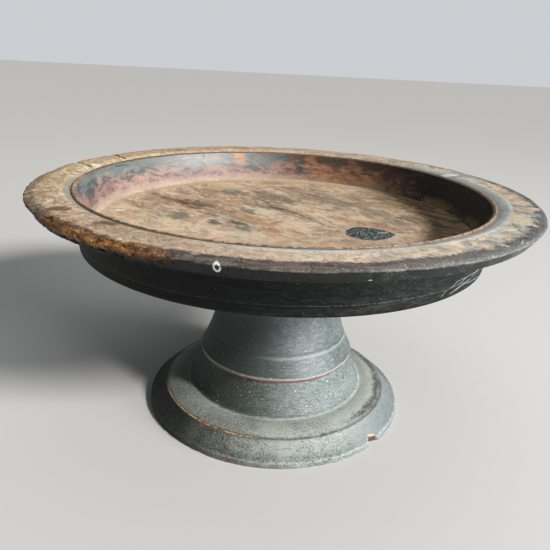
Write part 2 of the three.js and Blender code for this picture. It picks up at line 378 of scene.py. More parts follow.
def towards(at, degrees, start, full, wobble=0.0):
    direction = (math.cos(math.radians(degrees)), math.sin(math.radians(degrees)), 0.0)
    return sector(at["compass"], direction, start, full, wobble)


def dustSpecks(place, large, small, smallShare):
    return larger(paleSpecks(place, *large), paleSpecks(place, *small) * smallShare)


def addStrokes(place, colour, strokes):
    for scale, long, amount, strength, tone in strokes:
        colour = mixed(grainStrokes(place, scale, long, amount) * strength, colour, tone)
    return colour


def addMarks(place, colour, marks, strength=0.9):
    for centre, size, tone in marks:
        colour = mixed(stain(place, centre, size, 2.4, 0.5) * strength, colour, tone)
    return colour


def addLines(place, colour, lines, strength=0.85):
    for start, end, width, tone in lines:
        colour = mixed(crackLine(place, start, end, width, 0.002) * strength, colour, tone)
    return colour


def addScratches(at, colour, scratches, strength):
    lines = []
    for ends in scratches["ends"]:
        start, end = ((math.radians(turn) * unrolledRadius, 0.0, height) for turn, height in ends)
        lines.append((start, end, scratches["halfWidth"], scratches["colour"]))
    return addLines(at["unrolled"], colour, lines, strength)


# Sizes of the dish, in metres, measured down from the rim's top or up from the underside
dishLow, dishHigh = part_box("dish")
dish = {
    "rimRadius": dishHigh.x,
    "rimTop": dishHigh.z,
    "underside": dishLow.z,
    "floorLevel": dishLow.z + 0.020,
    "rimFlatRadius": 0.2215,
    "rimCrestDrop": 0.0036,
    "rimEdgeDrop": 0.0124,
    "rimEdgeRadius": 0.2237,
    "rimUnderRadius": 0.198,
    "rimUnderDrop": 0.018,
    "bodyRadius": 0.1905,
    "bodyTurnDrop": 0.024,
    "ridgeRadius": 0.189,
    "ridgeRise": 0.010,
    "ridgeWaist": 0.0016,
    "undersideRadius": 0.183,
    "undersideRound": 0.0024,
    "coveRadius": 0.200,
    "coveTurnRadius": 0.1950,
    "coveTurnDrop": 0.0007,
    "grooveRadius": 0.1916,
    "grooveDepth": 0.0026,
    "beadRadius": 0.1892,
    "beadHalfWidth": 0.0009,
    "beadDrop": 0.0013,
    "beadRound": 0.0012,
    "lipInnerRadius": 0.1874,
    "wallTurnRadius": 0.1845,
    "wallTurnRise": 0.017,
    "floorEdgeRadius": 0.1765,
    "floorEdgeRise": 0.0016,
    "floorRadius": 0.172,
    "socketRadius": 0.0424,
    "socketDepth": 0.0116,
    "sides": 720,
}
stemLow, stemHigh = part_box("stem")
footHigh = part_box("foot")[1]
stem = {
    "seat": footHigh.z + 0.0003,
    "top": dishLow.z - 0.0003,
    "collarRadius": 0.0771,
    "collarRise": 0.0059,
    "collarUndercut": 0.0014,
    "collarBulge": 0.0007,
    "collarTurnRise": 0.002,
    "waistRadius": 0.060,
    "waistRise": 0.072,
    "coneTurnRise": 0.038,
    "neckRadius": 0.066,
    "neckTurnRise": 0.106,
    "ringRise": 0.0245,
    "ringDepth": 0.0007,
    "ringHalf": 0.0011,
    "lowerTenonRadius": 0.046,
    "upperTenonRadius": 0.042,
    "chamfer": 0.0015,
    "sides": 480,
}
foot = {
    "edgeRadius": footHigh.x,
    "top": footHigh.z,
    "edgeThickness": 0.005,
    "edgeLean": 0.001,
    "bandOuterRadius": 0.1127,
    "bandOuterRise": 0.0193,
    "bandInnerRadius": 0.0905,
    "bandInnerRise": 0.0228,
    "bandCrown": 0.0013,
    "grooveDepth": 0.0012,
    "grooveWidth": 0.0016,
    "skirtDip": 0.0012,
    "drumBaseRadius": 0.0835,
    "drumBaseRise": 0.030,
    "coveReach": 0.0025,
    "drumTopRadius": 0.0746,
    "drumHollow": 0.0018,
    "hollowRadius": 0.118,
    "hollowCeilingRadius": 0.100,
    "hollowDepth": 0.0115,
    "hollowShoulder": 0.005,
    "hollowDraft": 0.001,
    "socketRadius": 0.0464,
    "chipAngle": -41.5,      # degrees
    "chipWidth": 0.0165,
    "chipDepth": 0.0062,
    "sides": 640,
}


# Outline of a turning: straight and curved strokes cut into short steps, each stroke with its material
class Outline:
    def __init__(self, radius, height):
        self.points = [(radius, height)]
        self.skins = []

    def line(self, radius, height, steps, skin):
        r0, z0 = self.points[-1]
        for step in range(1, steps + 1):
            t = step / steps
            self.points.append((r0 + (radius - r0) * t, z0 + (height - z0) * t))
            self.skins.append(skin)

    def curve(self, turnRadius, turnHeight, radius, height, steps, skin):
        r0, z0 = self.points[-1]
        for step in range(1, steps + 1):
            t = step / steps
            a, b, c = (1 - t) ** 2, 2 * t * (1 - t), t * t
            self.points.append((a * r0 + b * turnRadius + c * radius, a * z0 + b * turnHeight + c * height))
            self.skins.append(skin)


# Turns an outline into a mesh of so many sides: names are those of its finishes
def turnOutline(name, outline, sides, reshape, names, closed=False, sharpAngle=38.0):
    points = outline.points[:-1] if closed else outline.points
    rows = len(points)
    angles = np.arange(sides) * 2 * math.pi / sides
    radii, heights = np.array(points).T
    r, angle = np.meshgrid(radii, angles)
    z = np.meshgrid(heights, angles)[0]
    x, y, z = reshape(r, angle, z)
    places = np.stack([x, y, z], axis=-1).reshape(-1, 3)
    faces = []
    skins = []
    strokes = rows if closed else rows - 1
    for side in range(sides):
        here, there = side * rows, (side + 1) % sides * rows
        for row in range(strokes):
            above = (row + 1) % rows
            onAxis = radii[row] < 1e-7, radii[above] < 1e-7
            if onAxis[0]:
                face = (row, there + above, here + above)
            elif onAxis[1]:
                face = (here + row, there + row, above)
            else:
                face = (here + row, there + row, there + above, here + above)
            faces.append(face)
            skins.append(outline.skins[row])
    mesh = bpy.data.meshes.new(name)
    mesh.from_pydata([tuple(p) for p in places], [], faces)
    for skin in names:
        mesh.materials.append(finishes[skin])
    mesh.polygons.foreach_set("material_index", [names.index(skin) for skin in skins])
    shape = bmesh.new()
    shape.from_mesh(mesh)
    loose = [v for v in shape.verts if not v.link_faces]
    bmesh.ops.delete(shape, geom=loose, context="VERTS")
    bmesh.ops.dissolve_degenerate(shape, edges=shape.edges, dist=1e-6)
    bmesh.ops.recalc_face_normals(shape, faces=shape.faces)
    shape.to_mesh(mesh)
    shape.free()
    mesh.shade_smooth()
    mesh.set_sharp_from_angle(angle=math.radians(sharpAngle))
    piece = bpy.data.objects.new(name, mesh)
    bpy.context.scene.collection.objects.link(piece)
    return piece


# Smooth wandering value from -1 to 1 at every point, the same on each run
def wander(x, y, z, scale, shift=0.0):
    flat = zip(x.ravel(), y.ravel(), z.ravel())
    values = [noise.noise(Vector((a * scale + shift, b * scale, c * scale))) for a, b, c in flat]
    return np.array(values).reshape(x.shape)


def ramp(value, low, high):
    t = np.clip((value - low) / (high - low), 0.0, 1.0)
    return t * t * (3 - 2 * t)


def facing(angle, degrees, start, full):
    return ramp(np.cos(angle - math.radians(degrees)), start, full)


def segmentDistance(x, y, start, end):
    line = np.array(end) - np.array(start)
    share = ((x - start[0]) * line[0] + (y - start[1]) * line[1]) / (line @ line)
    share = np.clip(share, 0.0, 1.0)
    return np.hypot(x - start[0] - share * line[0], y - start[1] - share * line[1])


# Wear and damage of the dish, in metres and degrees; crumbling is worst at the front left
dishWear = {
    "rimCracks": [((-0.205, 0.124), (-0.176, 0.089)), ((-0.226, 0.066), (-0.190, 0.028))],
    "crackDepth": 0.0014,
    "crackHalf": 0.0014,
    "floorCrack": ((-0.062, 0.118, 0.1915), (0.058, -0.046, 0.1915)),
    "wallCrack": ((-0.1005, 0.1586, 0.2235), (-0.0895, 0.1520, 0.194)),
    "edgeWear": 0.0005,
    "topWear": 0.0005,
    "leftTowards": 200.0,
    "leftWear": 0.0030,
    "crumbleTowards": -124.0,
    "crumbleDepth": 0.0020,
    "crumbleTopWear": 0.0008,
    "backCrumbleTowards": 172.0,
    "backCrumbleShare": 0.5,
    # direction, half width and depth of each nick in the rim's edge
    "edgeNicks": [(-70.8, 0.0022, 0.0008), (-76.0, 0.002, 0.0006), (-36.0, 0.004, 0.0007),
                  (24.0, 0.004, 0.0007), (152.0, 0.006, 0.0016), (166.0, 0.005, 0.0014)],
    "ringMark": (-0.0368, -0.2250, 0.2192),
    "ringMarkSize": 0.0020,
    "floorSag": 0.0005,
    "beadWear": 0.0004,
    "beadInner": (0.1862, 0.1872),    # radii over which the bead's wear sets in, and those where it ends
    "beadOuter": (0.1905, 0.1915),
}


def dishOutline():
    d = dish
    top, under, level = d["rimTop"], d["underside"], d["floorLevel"]
    socketTop = under + d["socketDepth"]
    waist = d["ridgeRadius"] - d["ridgeWaist"]
    rimUnder = top - d["rimUnderDrop"]
    lip = top - d["beadDrop"]
    path = Outline(0.0, socketTop)
    path.line(d["socketRadius"], socketTop, 3, "socket")
    path.line(d["socketRadius"], under, 3, "socket")
    path.line(d["undersideRadius"], under, 24, "under")
    path.curve(waist, under, waist, under + d["undersideRound"], 4, "under")
    path.line(waist, under + d["ridgeRise"] - d["ridgeWaist"], 4, "under")
    path.line(d["ridgeRadius"], under + d["ridgeRise"], 3, "under")
    path.line(d["bodyRadius"], top - d["bodyTurnDrop"], 10, "under")
    path.curve(d["bodyRadius"], rimUnder, d["rimUnderRadius"], rimUnder, 6, "under")
    path.line(d["rimEdgeRadius"], top - d["rimEdgeDrop"], 12, "under")
    path.line(d["rimRadius"], top - d["rimCrestDrop"], 9, "rim")
    path.curve(d["rimRadius"], top, d["rimFlatRadius"], top, 10, "rim")
    path.line(d["coveRadius"], top, 22, "rim")
    path.curve(d["coveTurnRadius"], top - d["coveTurnDrop"],
               d["grooveRadius"], top - d["grooveDepth"], 10, "rim")
    path.line(d["beadRadius"] + d["beadHalfWidth"], lip, 3, "bead")
    path.line(d["beadRadius"], lip, 2, "bead")
    path.line(d["lipInnerRadius"], lip - d["beadRound"], 3, "bead")
    path.curve(d["wallTurnRadius"], level + d["wallTurnRise"],
               d["floorEdgeRadius"], level + d["floorEdgeRise"], 24, "wall")
    path.line(d["floorRadius"], level, 5, "floor")
    path.line(0.0, level, 70, "floor")
    return path


def reshapeDish(r, angle, z):
    d, wear = dish, dishWear
    x, y = r * np.cos(angle), r * np.sin(angle)
    top = d["rimTop"]
    onRim = ramp(r, d["rimFlatRadius"] - 0.010, d["rimRadius"]) * ramp(z, top - 0.016, top - 0.010)
    crumble = wear["backCrumbleShare"] * facing(angle, wear["backCrumbleTowards"], 0.6, 0.9)
    crumble = facing(angle, wear["crumbleTowards"], 0.90, 0.98) + crumble
    lumps = wander(x, y, z, 95.0) * 0.6 + wander(x, y, z, 260.0, 7.0) * 0.4
    fine = wander(x, y, z, 620.0, 3.0)
    loss = wear["edgeWear"] * ramp(wander(x, y, z, 38.0, 2.0), -0.3, 0.4)
    loss = loss + wear["leftWear"] * facing(angle, wear["leftTowards"], 0.15, 0.9) * (0.8 + 0.4 * lumps)
    loss = loss + wear["crumbleDepth"] * crumble * ramp(lumps + 0.35 * fine, 0.0, 0.6)
    for degrees, width, depth in wear["edgeNicks"]:
        away = np.abs(angle - math.radians(degrees % 360.0)) * d["rimRadius"]
        loss = loss + depth * (1 - ramp(away + 0.001 * fine, width * 0.4, width))
    newR = r - loss * onRim
    newZ = z - loss * onRim * 0.35 * ramp(z, top - 0.006, top)
    onTop = ramp(r, d["coveRadius"], d["coveRadius"] + 0.004) * ramp(z, top - 0.004, top)
    newZ = newZ - onTop * wear["topWear"] * ramp(wander(x, y, z, 42.0, 11.0), -0.5, 0.6)
    newZ = newZ - onTop * onRim * crumble * wear["crumbleTopWear"] * ramp(fine + lumps, 0.1, 0.9)
    nearTop = ramp(z, top - 0.013, top - 0.002)
    for start, end in wear["rimCracks"]:
        away = segmentDistance(x + 0.0012 * lumps, y, start, end)
        newZ = newZ - wear["crackDepth"] * (1 - ramp(away, 0.0, wear["crackHalf"])) * nearTop
    level = d["floorLevel"]
    onFloor = 1 - ramp(r, d["floorRadius"] - 0.012, d["floorRadius"])
    onFloor = onFloor * (1 - ramp(z, level + 0.0004, level + 0.001))
    onFloor = onFloor * ramp(z, level - 0.001, level - 0.0001)
    newZ = newZ - onFloor * wear["floorSag"] * ramp(wander(x, y, z, 20.0, 5.0), -0.4, 0.6)
    atBead = ramp(r, *wear["beadInner"]) * (1 - ramp(r, *wear["beadOuter"]))
    atBead = atBead * ramp(z, top - 0.004, top - 0.002)
    newZ = newZ - atBead * wear["beadWear"] * ramp(lumps, -0.1, 0.6)
    return newR * np.cos(angle), newR * np.sin(angle), newZ


# Finish of the rim: worn bare wood, a dark shoulder, a grey film in the cove and to the right
rimFinish = {
    "darkWood": (0.25, 0.150, 0.094),
    "midWood": (0.58, 0.42, 0.280),
    "paleWood": (0.80, 0.65, 0.475),
    "yellowWood": (0.56, 0.43, 0.225),
    "film": (0.43, 0.485, 0.46),
    "darkFilm": (0.150, 0.180, 0.175),
    "cove": (0.45, 0.51, 0.50),
    "coveLeft": (0.19, 0.235, 0.225),
    "lacquer": (0.005, 0.0058, 0.0055),
    "dull": (0.0110, 0.0140, 0.0132),
    "shoulderDark": (0.024, 0.021, 0.020),
    "shoulder": (0.100, 0.080, 0.077),
    "pit": (0.040, 0.018, 0.008),
    "crumb": (0.23, 0.092, 0.026),
    "gold": (0.50, 0.255, 0.065),
    "crumbPale": (0.72, 0.53, 0.30),
    "speck": (0.60, 0.60, 0.52),
    "frontBrown": (0.200, 0.110, 0.068),
    "backBrown": (0.33, 0.235, 0.145),
    "frontPale": (0.90, 0.77, 0.62),
    "shoulderRight": (0.070, 0.082, 0.087),
    "fleck": (0.36, 0.35, 0.34),
    "sideRight": (0.022, 0.028, 0.027),
    "sideFilm": (0.13, 0.165, 0.145),
    "paintedCrestHighlight": (0.36, 0.41, 0.43),
    "ruin": (0.085, 0.062, 0.042),
    "crack": (0.085, 0.038, 0.020),
    "ringInside": (0.016, 0.018, 0.017),
    "ringMark": (0.66, 0.70, 0.62),
    "groove": (0.120, 0.135, 0.122),
    "grooveInner": 0.1903,
    "thinFilmRadius": 0.1965,
    "crumbRadius": 0.2205,
    # strokes along the grain: scale, length, share they cover, strength, colour
    "strokes": [
        (28.0, 1.3, 0.36, 0.50, (0.62, 0.390, 0.245)),
        (46.0, 1.5, 0.28, 0.45, (0.46, 0.300, 0.220)),
        (62.0, 1.3, 0.34, 0.60, (0.84, 0.70, 0.52)),
        (120.0, 1.3, 0.28, 0.60, (0.210, 0.120, 0.078)),
        (200.0, 1.4, 0.30, 0.50, (0.84, 0.72, 0.55)),
        (300.0, 1.5, 0.26, 0.60, (0.140, 0.085, 0.058)),
    ],
    # small marks: centre, size, colour
    "marks": [
        ((0.0742, -0.2135, 0.2215), (0.0026, 0.0026, 0.0022), (0.62, 0.27, 0.06)),
        ((0.0545, -0.2178, 0.2140), (0.0018, 0.0018, 0.0006), (0.42, 0.48, 0.42)),
        ((-0.0616, 0.205, 0.224), (0.022, 0.010, 0.010), (0.46, 0.24, 0.09)),
        ((-0.128, 0.163, 0.224), (0.010, 0.007, 0.006), (0.16, 0.21, 0.17)),
        # painted highlight: a pale glint on the rim's inner slope at the right
        ((0.179, 0.088, 0.2245), (0.013, 0.007, 0.004), (0.72, 0.77, 0.78)),
        ((0.205, 0.012, 0.2245), (0.006, 0.014, 0.006), (0.48, 0.35, 0.23)),
        ((0.213, -0.020, 0.2245), (0.005, 0.009, 0.006), (0.50, 0.33, 0.20)),
        ((0.203, -0.055, 0.2245), (0.005, 0.014, 0.006), (0.46, 0.34, 0.23)),
        ((0.190, -0.090, 0.2245), (0.007, 0.016, 0.006), (0.60, 0.50, 0.32)),
        ((-0.163, -0.133, 0.2240), (0.011, 0.008, 0.004), (0.14, 0.070, 0.038)),
        ((-0.119, -0.163, 0.2245), (0.013, 0.006, 0.004), (0.15, 0.080, 0.050)),
    ],
    # lines: start, end, half width, colour
    "lines": [
        ((0.1608, -0.1477, 0.2245), (0.1771, -0.1431, 0.2235), 0.0014, (0.035, 0.030, 0.026)),
        ((0.1725, -0.1400, 0.2240), (0.1650, -0.1570, 0.2235), 0.0007, (0.34, 0.38, 0.40)),
        ((-0.1910, 0.0940, 0.2245), (-0.1730, 0.0890, 0.2245), 0.0012, (0.22, 0.085, 0.035)),
    ],
}


def makeRimMaterial():
    f, d = rimFinish, dish
    material, place = startMaterial("wornRim")
    at = turnedPlace(place)
    radius, height = at["radius"], at["height"]
    grain = slabGrain(place, f["darkWood"], f["midWood"], f["paleWood"])
    wobble = wandering(place, 70.0, 0.02)
    sway = wandering(place, 26.0, 0.5)
    left = towards(at, 168.0, 0.5, 0.9, sway)
    right = towards(at, -8.0, 0.1, 0.9, sway)
    frontLeft = towards(at, -128.0, 0.55, 0.95, sway)
    frontRight = towards(at, -34.0, 0.18, 0.72, sway)
    back = towards(at, 90.0, 0.2, 0.8)
    bits = speckle(place, 640.0, 4.0, 0.72)
    # bare wood, yellower on the left, browner at the front left and the back, paler in front
    colour = mixed(left * span(grain["streak"], 0.3, 0.6, 0.5, 0.95), grain["colour"], f["yellowWood"])
    colour = addStrokes(place, colour, f["strokes"])
    brown = grainStrokes(place, 40.0, 2.6, 0.7, 0.05) * frontLeft * span(bits, 0.4, 0.6, 0.25, 0.60)
    colour = mixed(brown, colour, f["frontBrown"])
    colour = mixed(towards(at, 100.0, 0.40, 0.90, sway) * 0.4, colour, f["backBrown"])
    pale = towards(at, -70.0, 0.55, 0.95, sway) * span(bits, 0.36, 0.56, 0.05, 0.28)
    colour = mixed(pale, colour, f["frontPale"])
    # grey film to the right and in the cove round the bead
    film = grainStrokes(place, 40.0, 1.1, 0.60, 0.03) * (right * 0.78) * span(bits, 0.35, 0.5, 0.6, 1.0)
    colour = mixed(film, colour, mixed(span(grain["streak"], 0.42, 0.56), f["darkFilm"], f["film"]))
    coveInner = d["grooveRadius"] - 0.003
    cove = ring(radius, coveInner, d["coveRadius"] + 0.0032, 0.0014, wobble * 0.30)
    wear = wornAway(place, 110.0, 0.42, 1.5, 0.07)
    cove = cove * frontRight * (1.0 - wear * 0.6) * span(bits, 0.41, 0.54, 0.22, 1.0)
    colour = mixed(cove, colour, f["cove"])
    thin = ring(radius, coveInner, f["thinFilmRadius"], 0.0013, wobble * 0.35)
    thin = thin * (towards(at, -128.0, 0.35, 0.75, sway) * 0.65 + 0.25)
    colour = mixed(thin * (1.0 - frontRight) * span(bits, 0.40, 0.52), colour, f["coveLeft"])
    # dark shoulder, its edge broken by strokes along the grain
    broken = wobble * 0.5 + (grain["streak"] - 0.5) * (right * 0.03 + 0.012)
    edge = ring(radius, d["rimFlatRadius"] - 0.0015, 0.3, 0.0022, broken)
    edge = edge * (1.0 - left * 0.8) * (1.0 - back * 0.7)
    turned = speckle(at["lathe"], 190.0, 5.0, 0.72, 0.3)
    shoulder = mixed(span(turned, 0.45, 0.55), f["shoulderDark"], f["shoulder"])
    shoulder = mixed(right * 0.7, shoulder, f["shoulderRight"])
    shoulder = mixed(span(bits, 0.56, 0.64) * (right * 0.5 + 0.25), shoulder, f["fleck"])
    colour = mixed(edge * 0.92, colour, shoulder)
    # near-black side, with a painted highlight along its crest on the right
    crest = d["rimTop"] - d["rimCrestDrop"]
    side = span(wobble * 0.2 + height, crest - 0.0007, crest + 0.0010, 1.0, 0.0)
    sideTone = mixed(span(bits, 0.48, 0.66), f["lacquer"], f["dull"])
    sideTone = mixed(right * 0.4, sideTone, f["sideRight"])
    sideFilm = right * span(turned, 0.46, 0.58) * span(bits, 0.44, 0.56)
    colour = mixed(side, colour, mixed(sideFilm * 0.8, sideTone, f["sideFilm"]))
    paintedCrestHighlight = span(abs(height - (crest - 0.0003)), 0.0002, 0.0012, 1.0, 0.0)
    paintedCrestHighlight = paintedCrestHighlight * towards(at, -22.0, 0.66, 0.90) * span(bits, 0.44, 0.56, 0.1, 1.0)
    colour = mixed(paintedCrestHighlight * 0.55, colour, f["paintedCrestHighlight"])
    # crumbling golden edge at the front left, and broken bits of the worn left edge
    crumbRing = ring(radius, f["crumbRadius"], 0.3, 0.0030, broken * 0.9)
    crumb = towards(at, dishWear["crumbleTowards"], 0.945, 0.985, sway * 0.06) * crumbRing
    crumb = crumb * span(wobble * 0.3 + height, crest - 0.0065, crest - 0.0035)
    lumps = speckle(at["lathe"], 230.0, 6.0, 0.78)
    crumbTone = mixed(span(lumps, 0.40, 0.50), f["pit"], f["crumb"])
    crumbTone = mixed(span(bits, 0.46, 0.38), crumbTone, f["pit"])
    crumbTone = mixed(span(lumps, 0.50, 0.60) * span(bits, 0.42, 0.52), crumbTone, f["gold"])
    crumbTone = mixed(span(bits, 0.58, 0.66) * span(lumps, 0.46, 0.54), crumbTone, f["crumbPale"])
    colour = mixed(crumb * span(lumps, 0.38, 0.47, 0.3, 0.95), colour, crumbTone)
    ruin = towards(at, -168.0, 0.72, 0.92) * crumbRing * span(bits, 0.49, 0.56)
    colour = mixed(ruin * 0.8, colour, f["ruin"])
    colour = addMarks(place, colour, f["marks"])
    colour = addLines(place, colour, f["lines"])
    top = d["rimTop"] - 0.0002
    cracks = larger(*(crackLine(place, (*start, top), (*end, top), 0.0022, 0.004)
                      for start, end in dishWear["rimCracks"]))
    colour = mixed(cracks * 0.9, colour, f["crack"])
    specks = dustSpecks(place, (330.0, 0.10, 0.30), (900.0, 0.20, 0.34), 0.8)
    specks = specks * (1.0 - side * 0.75) * span(left, 0.0, 1.0, 0.65, 0.35)
    colour = mixed(specks, colour, f["speck"])
    # small white ring on the rim's side
    offset = vectors("SUBTRACT", place, dishWear["ringMark"])
    away = vectors("LENGTH", vectors("MULTIPLY", offset, (1.0, 0.45, 0.62)))
    size = dishWear["ringMarkSize"]
    colour = mixed(span(away, size - 0.0009, size, 1.0, 0.0), colour, f["ringInside"])
    ringMark = span(abs(away - size), 0.0003, 0.0008, 1.0, 0.0) * span(bits, 0.34, 0.46)
    colour = mixed(ringMark, colour, f["ringMark"])
    groove = ring(radius, f["grooveInner"], d["grooveRadius"] - 0.0001, 0.0004)
    groove = groove * (1.0 - frontRight * 0.75) * span(bits, 0.36, 0.5, 0.5, 1.0)
    colour = mixed(groove * 0.7, colour, f["groove"])
    smooth = larger(larger(film, side), edge)
    rough = grain["height"] * 0.30 + 0.46 - smooth * 0.14 + crumb * 0.2
    relief = bits * (crumb * 1.6 + 0.35) + grain["height"] * (1.0 - edge * 0.8) * 0.5 - cracks
    return finishMaterial(material, colour, rough, relief, 0.7, 0.0014, 0.18)


# Finish of the bead: orange-brown wood, greyer to the right and dark at the back
beadFinish = {
    "dark": (0.095, 0.044, 0.022),
    "orange": (0.32, 0.155, 0.066),
    "pale": (0.56, 0.37, 0.20),
    "right": (0.36, 0.29, 0.225),
    "back": (0.085, 0.056, 0.038),
    "groove": (0.085, 0.080, 0.068),
    "grooveInner": 0.1905,
}


def makeBeadMaterial():
    f = beadFinish
    material, place = startMaterial("wornBead")
    at = turnedPlace(place)
    bits = speckle(place, 420.0, 4.0, 0.68)
    colour = mixed(span(bits, 0.40, 0.53), f["dark"], f["orange"])
    broad = wornAway(place, 48.0, 0.5, 1.2, 0.05)
    colour = mixed(broad * span(bits, 0.45, 0.55), colour, f["pale"])
    right = towards(at, -20.0, 0.45, 0.85)
    colour = mixed(right * span(bits, 0.42, 0.54, 0.25, 0.75), colour, f["right"])
    colour = mixed(towards(at, 105.0, -0.05, 0.55) * 0.85, colour, f["back"])
    groove = ring(at["radius"], f["grooveInner"], 0.2, 0.0005)
    colour = mixed(groove * (1.0 - right * 0.7), colour, f["groove"])
    return finishMaterial(material, colour, span(bits, 0.3, 0.7, 0.45, 0.6), bits, 0.6, 0.0005)


# Finish of the well's wall: a grey film over lacquer, worn to pink wood on the left, with painted shadow in
# near-black on the right
wallFinish = {
    "teal": (0.046, 0.064, 0.061),
    "film": (0.118, 0.138, 0.138),
    "darkWood": (0.105, 0.068, 0.056),
    "mauve": (0.215, 0.134, 0.121),
    "tan": (0.32, 0.205, 0.165),
    "orange": (0.36, 0.185, 0.095),
    "brown": (0.225, 0.100, 0.052),
    "umber": (0.055, 0.030, 0.020),
    "paintedShadowBlack": (0.010, 0.0075, 0.0055),
    "gold": (0.30, 0.20, 0.070),
    "redStreak": (0.37, 0.195, 0.115),
    "brownPit": (0.10, 0.05, 0.03),
    "paintedShadowStreak": (0.030, 0.020, 0.012),
    "crack": (0.025, 0.020, 0.018),
    "dust": (0.42, 0.35, 0.30),
    "lowDust": (0.335, 0.250, 0.205),
    "scratches": {
        "halfWidth": 0.0006,
        "colour": (0.46, 0.37, 0.33),
        # start and end: degrees, height
        "ends": [((169.0, 0.2166), (153.3, 0.1948)), ((167.8, 0.2114), (160.0, 0.1957)),
                 ((155.6, 0.2114), (148.4, 0.2013)), ((148.1, 0.2126), (139.7, 0.2016)),
                 ((144.4, 0.2139), (140.1, 0.2084)), ((102.9, 0.2140), (97.0, 0.1998))],
    },
    "marks": [
        # painted glint: a pale spot at the top of the wall's crack
        ((-0.1065, 0.1565, 0.2195), (0.0026, 0.0026, 0.0024), (0.62, 0.70, 0.76)),
        ((-0.0585, 0.1790, 0.2190), (0.0085, 0.0060, 0.0062), (0.40, 0.205, 0.095)),
        ((-0.0565, 0.1770, 0.2110), (0.0080, 0.0060, 0.0060), (0.34, 0.19, 0.105)),
        ((-0.1790, 0.0130, 0.2130), (0.0080, 0.0120, 0.0060), (0.040, 0.056, 0.060)),
    ],
}


def makeWallMaterial():
    f, d = wallFinish, dish
    material, place = startMaterial("wellWall")
    at = turnedPlace(place, 0.034)
    inputs = {0: at["height"], 1: d["floorLevel"] + 0.002, 2: d["rimTop"] - 0.003}
    climb = out(put("ShaderNodeMapRange", inputs))
    patches = speckle(stretched(place, (1.0, 1.0, 0.6)), 40.0, 6.0, 0.70, 0.4)
    streaks = speckle(at["lathe"], 480.0, 5.0, 0.72, 0.2)
    broad = speckle(at["lathe"], 170.0, 5.0, 0.68, 0.3)
    bits = speckle(place, 620.0, 4.0, 0.75)
    sway = (patches - 0.5) * 0.7
    # wood laid bare, mauve with darker and tan streaks, under the film left near the top
    wood = mixed(span(streaks, 0.40, 0.52), f["darkWood"], f["mauve"])
    wood = mixed(span(broad, 0.48, 0.58) * span(bits, 0.40, 0.55), wood, f["tan"])
    worn = span(patches * 0.45 + broad * 0.30 + bits * 0.25 - climb * 0.22, 0.335, 0.435)
    coat = mixed(span(climb * 0.06 + broad, 0.46, 0.60), f["teal"], f["film"])
    colour = mixed(worn, coat, wood)
    backLeft = towards(at, 122.0, 0.82, 0.98, wandering(place, 30.0, 0.2))
    colour = mixed(backLeft * span(climb, 0.3, 0.7) * (1.0 - worn * 0.5), colour, f["film"])
    tanStreak = backLeft * span(streaks, 0.53, 0.60) * span(climb, 0.35, 0.6)
    colour = mixed(tanStreak * 0.65, colour, f["orange"])
    # back right: red-brown streaks under a dark top
    backRight = towards(at, 58.0, 0.72, 0.95, sway)
    brown = mixed(span(patches - climb * 0.28, 0.26, 0.40), f["umber"], f["brown"])
    brown = mixed(span(streaks, 0.50, 0.58) * span(climb, 0.8, 0.5), brown, f["redStreak"])
    brown = mixed(span(bits, 0.56, 0.64, 0.0, 0.6), brown, f["brownPit"])
    colour = mixed(backRight * 0.9, colour, brown)
    # painted shadow: the right of the wall, which lies in shade, is painted near-black with faint streaks
    right = towards(at, 0.0, 0.60, 0.85, sway)
    colour = mixed(right, colour, mixed(span(streaks, 0.5, 0.7), f["paintedShadowBlack"], f["paintedShadowStreak"]))
    gold = span(sway * 0.8 + climb, 0.10, 0.36, 1.0, 0.0) * span(broad, 0.44, 0.56)
    colour = mixed(gold * larger(backRight * 0.8, right * 0.5), colour, f["gold"])
    colour = addMarks(place, colour, f["marks"], 0.8)
    colour = addScratches(at, colour, f["scratches"], 0.4)
    crack = crackLine(place, *dishWear["wallCrack"], 0.0010, 0.0015)
    colour = mixed(crack, colour, f["crack"])
    # dust, thicker where the wall meets the floor
    dusty = paleSpecks(place, 560.0, 0.16, 0.28) * (1.0 - right) * span(climb, 1.0, 0.0, 0.25, 0.8)
    colour = mixed(dusty, colour, f["dust"])
    lowWall = span((bits - 0.5) * 0.5 + sway * 0.3 + climb, 0.0, 0.22, 1.0, 0.0)
    lowWall = lowWall * (1.0 - right * 0.9) * (1.0 - backRight * 0.6)
    colour = mixed(lowWall * 0.75, colour, f["lowDust"])
    rough = worn * 0.16 + bits * 0.25 + 0.30
    return finishMaterial(material, colour, rough, streaks * 0.6 + bits * 0.5 - crack, 0.5, 0.0009)


